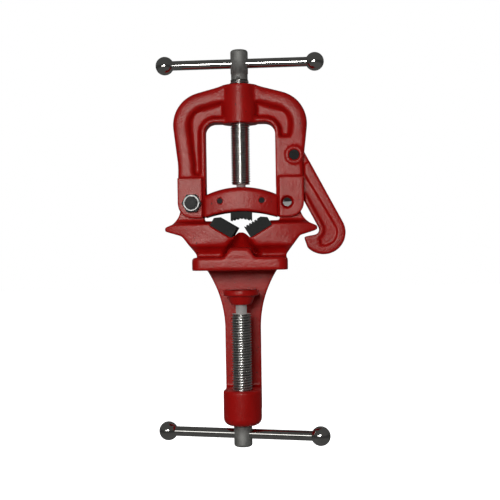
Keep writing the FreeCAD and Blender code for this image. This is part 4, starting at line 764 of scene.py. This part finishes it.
def cut_out(work, low, high):
    """Cut a screw's middle away between two heights and close what is left at each end."""
    for height in (low, high):
        whole = work.verts[:] + work.edges[:] + work.faces[:]
        bmesh.ops.bisect_plane(work, geom=whole, plane_co=(0, 0, height), plane_no=UPWARD, dist=WELD)
    inside = [vert for vert in work.verts if low + ON_PLANE < vert.co.z < high - ON_PLANE]
    bmesh.ops.delete(work, geom=inside, context="VERTS")
    between = []
    for face in work.faces:
        heights = [vert.co.z for vert in face.verts]
        if min(heights) < low + ON_PLANE and max(heights) > high - ON_PLANE:
            between.append(face)
    bmesh.ops.delete(work, geom=between, context="FACES_ONLY")
    bmesh.ops.holes_fill(work, edges=[edge for edge in work.edges if edge.is_boundary])


def screw(node, axis_y, plain_ends, nose_up, thread_finish, head_finish, nose_finish):
    """A screw: the CAD node's plain ends with a cut thread between them, each in its own finish."""
    piece = node_copy(node, f"{node}_threaded")
    node_low, node_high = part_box(node)
    low, high = node_low.z + plain_ends[0], node_high.z - plain_ends[1]
    work = bmesh.new()
    work.from_mesh(piece.data)
    cut_out(work, low, high)
    for face in work.faces:
        is_below = face.calc_center_median().z < low
        face.material_index = 1 if is_below == nose_up else 2
    thread = threaded_rod(f"{node}_thread", axis_y, low, high)
    work.from_mesh(thread)
    work.to_mesh(piece.data)
    work.free()
    bpy.data.meshes.remove(thread)
    piece.data.shade_smooth()
    piece.data.set_sharp_from_angle(angle=SHARP_ANGLE)
    for material in (thread_finish, head_finish, nose_finish):
        piece.data.materials.append(material)
    stand_for(piece, node)


def on_collar(place):
    """Whether a point of the lock nut lies on the bright collar at its front end."""
    from_middle = math.hypot(place.x - nut_middle.x, place.z - nut_middle.z)
    return place.y < nut_low.y + COLLAR_HEIGHT + COLLAR_NEAR and from_middle < COLLAR_RADIUS


def dress(node, material, part_material=None, in_part=None):
    """Give a CAD node that stays a finish, and the faces that in_part picks one of their own."""
    mesh = nodes[node].data
    mesh.materials.clear()
    mesh.materials.append(material)
    if part_material:
        mesh.materials.append(part_material)
        for polygon in mesh.polygons:
            polygon.material_index = int(in_part(polygon.center))


# camera, lights and floor
clear_start()
bpy.context.scene.view_settings.view_transform = "Standard"
add_camera()
add_world()
add_light("flash", FLASH_PLACE, FLASH_WIDTH, FLASH_HEIGHT, FLASH_POWER)
add_light("fill", FILL_PLACE, FILL_SIZE, FILL_SIZE, FILL_POWER, mirrored=False)
add_light("strip", STRIP_PLACE, STRIP_WIDTH, STRIP_HEIGHT, STRIP_POWER)
add_light("low", LOW_PLACE, LOW_SIZE, LOW_SIZE, LOW_POWER, mirrored=False)
for side in (-1, 1):
    place = Vector((side * BACK_OUT, BACK_BEHIND, BACK_HEIGHT))
    add_light(f"back_{side}", place, BACK_SIZE, BACK_SIZE, BACK_POWER, mirrored=False)
add_floor()

# finishes
enamel = red_enamel()
screw_steel = turned_steel("bright_screw_steel", SCREW_COLOUR, SCREW_ROUGHNESS, yoke_y)
clamp_steel = turned_steel("clamp_screw_steel", CLAMP_COLOUR, CLAMP_ROUGHNESS, 0.0)
handle_steel = polished_steel()
jaw_steel = black_oxide()
finish = {name: plain_finish(name, *look) for name, look in PLAIN_FINISHES.items()}
# painted shadow: the closing pin's upper part is coloured dark as the shade in its counterbore
paint_pin_shadow(finish["plain_pin_steel"], "closing_pin")

# castings
yoke_bore = ((0, yoke_y, 0), UPWARD, THREAD_RADIUS + BORE_ROOM)
clamp_bore = ((0, 0, 0), UPWARD, THREAD_RADIUS + BORE_ROOM)
yoke_pins = pin_places(CLOSING_PIN_ROOM, "closing_pin") + pin_places(HOOK_PIN_ROOM, "hook_pin")
jaw_pins = pin_places(JAW_PIN_ROOM, "upper_jaw_pin_left", "upper_jaw_pin_right")
cast("base_casting", enamel, crisp=[clamp_bore], broad=block_foot, move=block_face)
cast("yoke_frame", enamel, spread=YOKE_ROUND, crisp=[yoke_bore] + yoke_pins, broad=yoke_rim)
cast("latch_hook", enamel, voxel=SMALL_CAST_VOXEL, spread=HOOK_ROUND)
cast("jaw_carrier", enamel, voxel=SMALL_CAST_VOXEL, crisp=jaw_pins, move=carrier_edge)
cast("clamp_pad", enamel, voxel=PAD_VOXEL)

# screws
end_finishes = (finish["dull_head_steel"], finish["bright_nose_steel"])
screw("main_screw", yoke_y, MAIN_PLAIN, False, screw_steel, *end_finishes)
screw("clamp_screw", 0.0, CLAMP_PLAIN, True, clamp_steel, *end_finishes)

# nodes that keep their own shape
for handle in ("main_handle", "clamp_handle"):
    for part in ("bar", "ball_left", "ball_right"):
        dress(f"{handle}_{part}", handle_steel)
for node in ("lower_jaw_left", "lower_jaw_right", "upper_jaw"):
    dress(node, jaw_steel)
for node in ("hook_pin", "upper_jaw_pin_left", "upper_jaw_pin_right", "pad_pin",
             "lower_jaw_pin_left", "lower_jaw_pin_right"):
    dress(node, finish["dark_pin_steel"])
for node in ("nose_washer", "nose_clip"):
    dress(node, finish["zinc_fastener"])
dress("hinge_nut", finish["black_bolt_steel"], finish["zinc_fastener"], on_collar)
dress("hinge_bolt", finish["black_bolt_steel"])
dress("hinge_nut_insert", finish["black_insert"])
dress("closing_pin", finish["plain_pin_steel"])
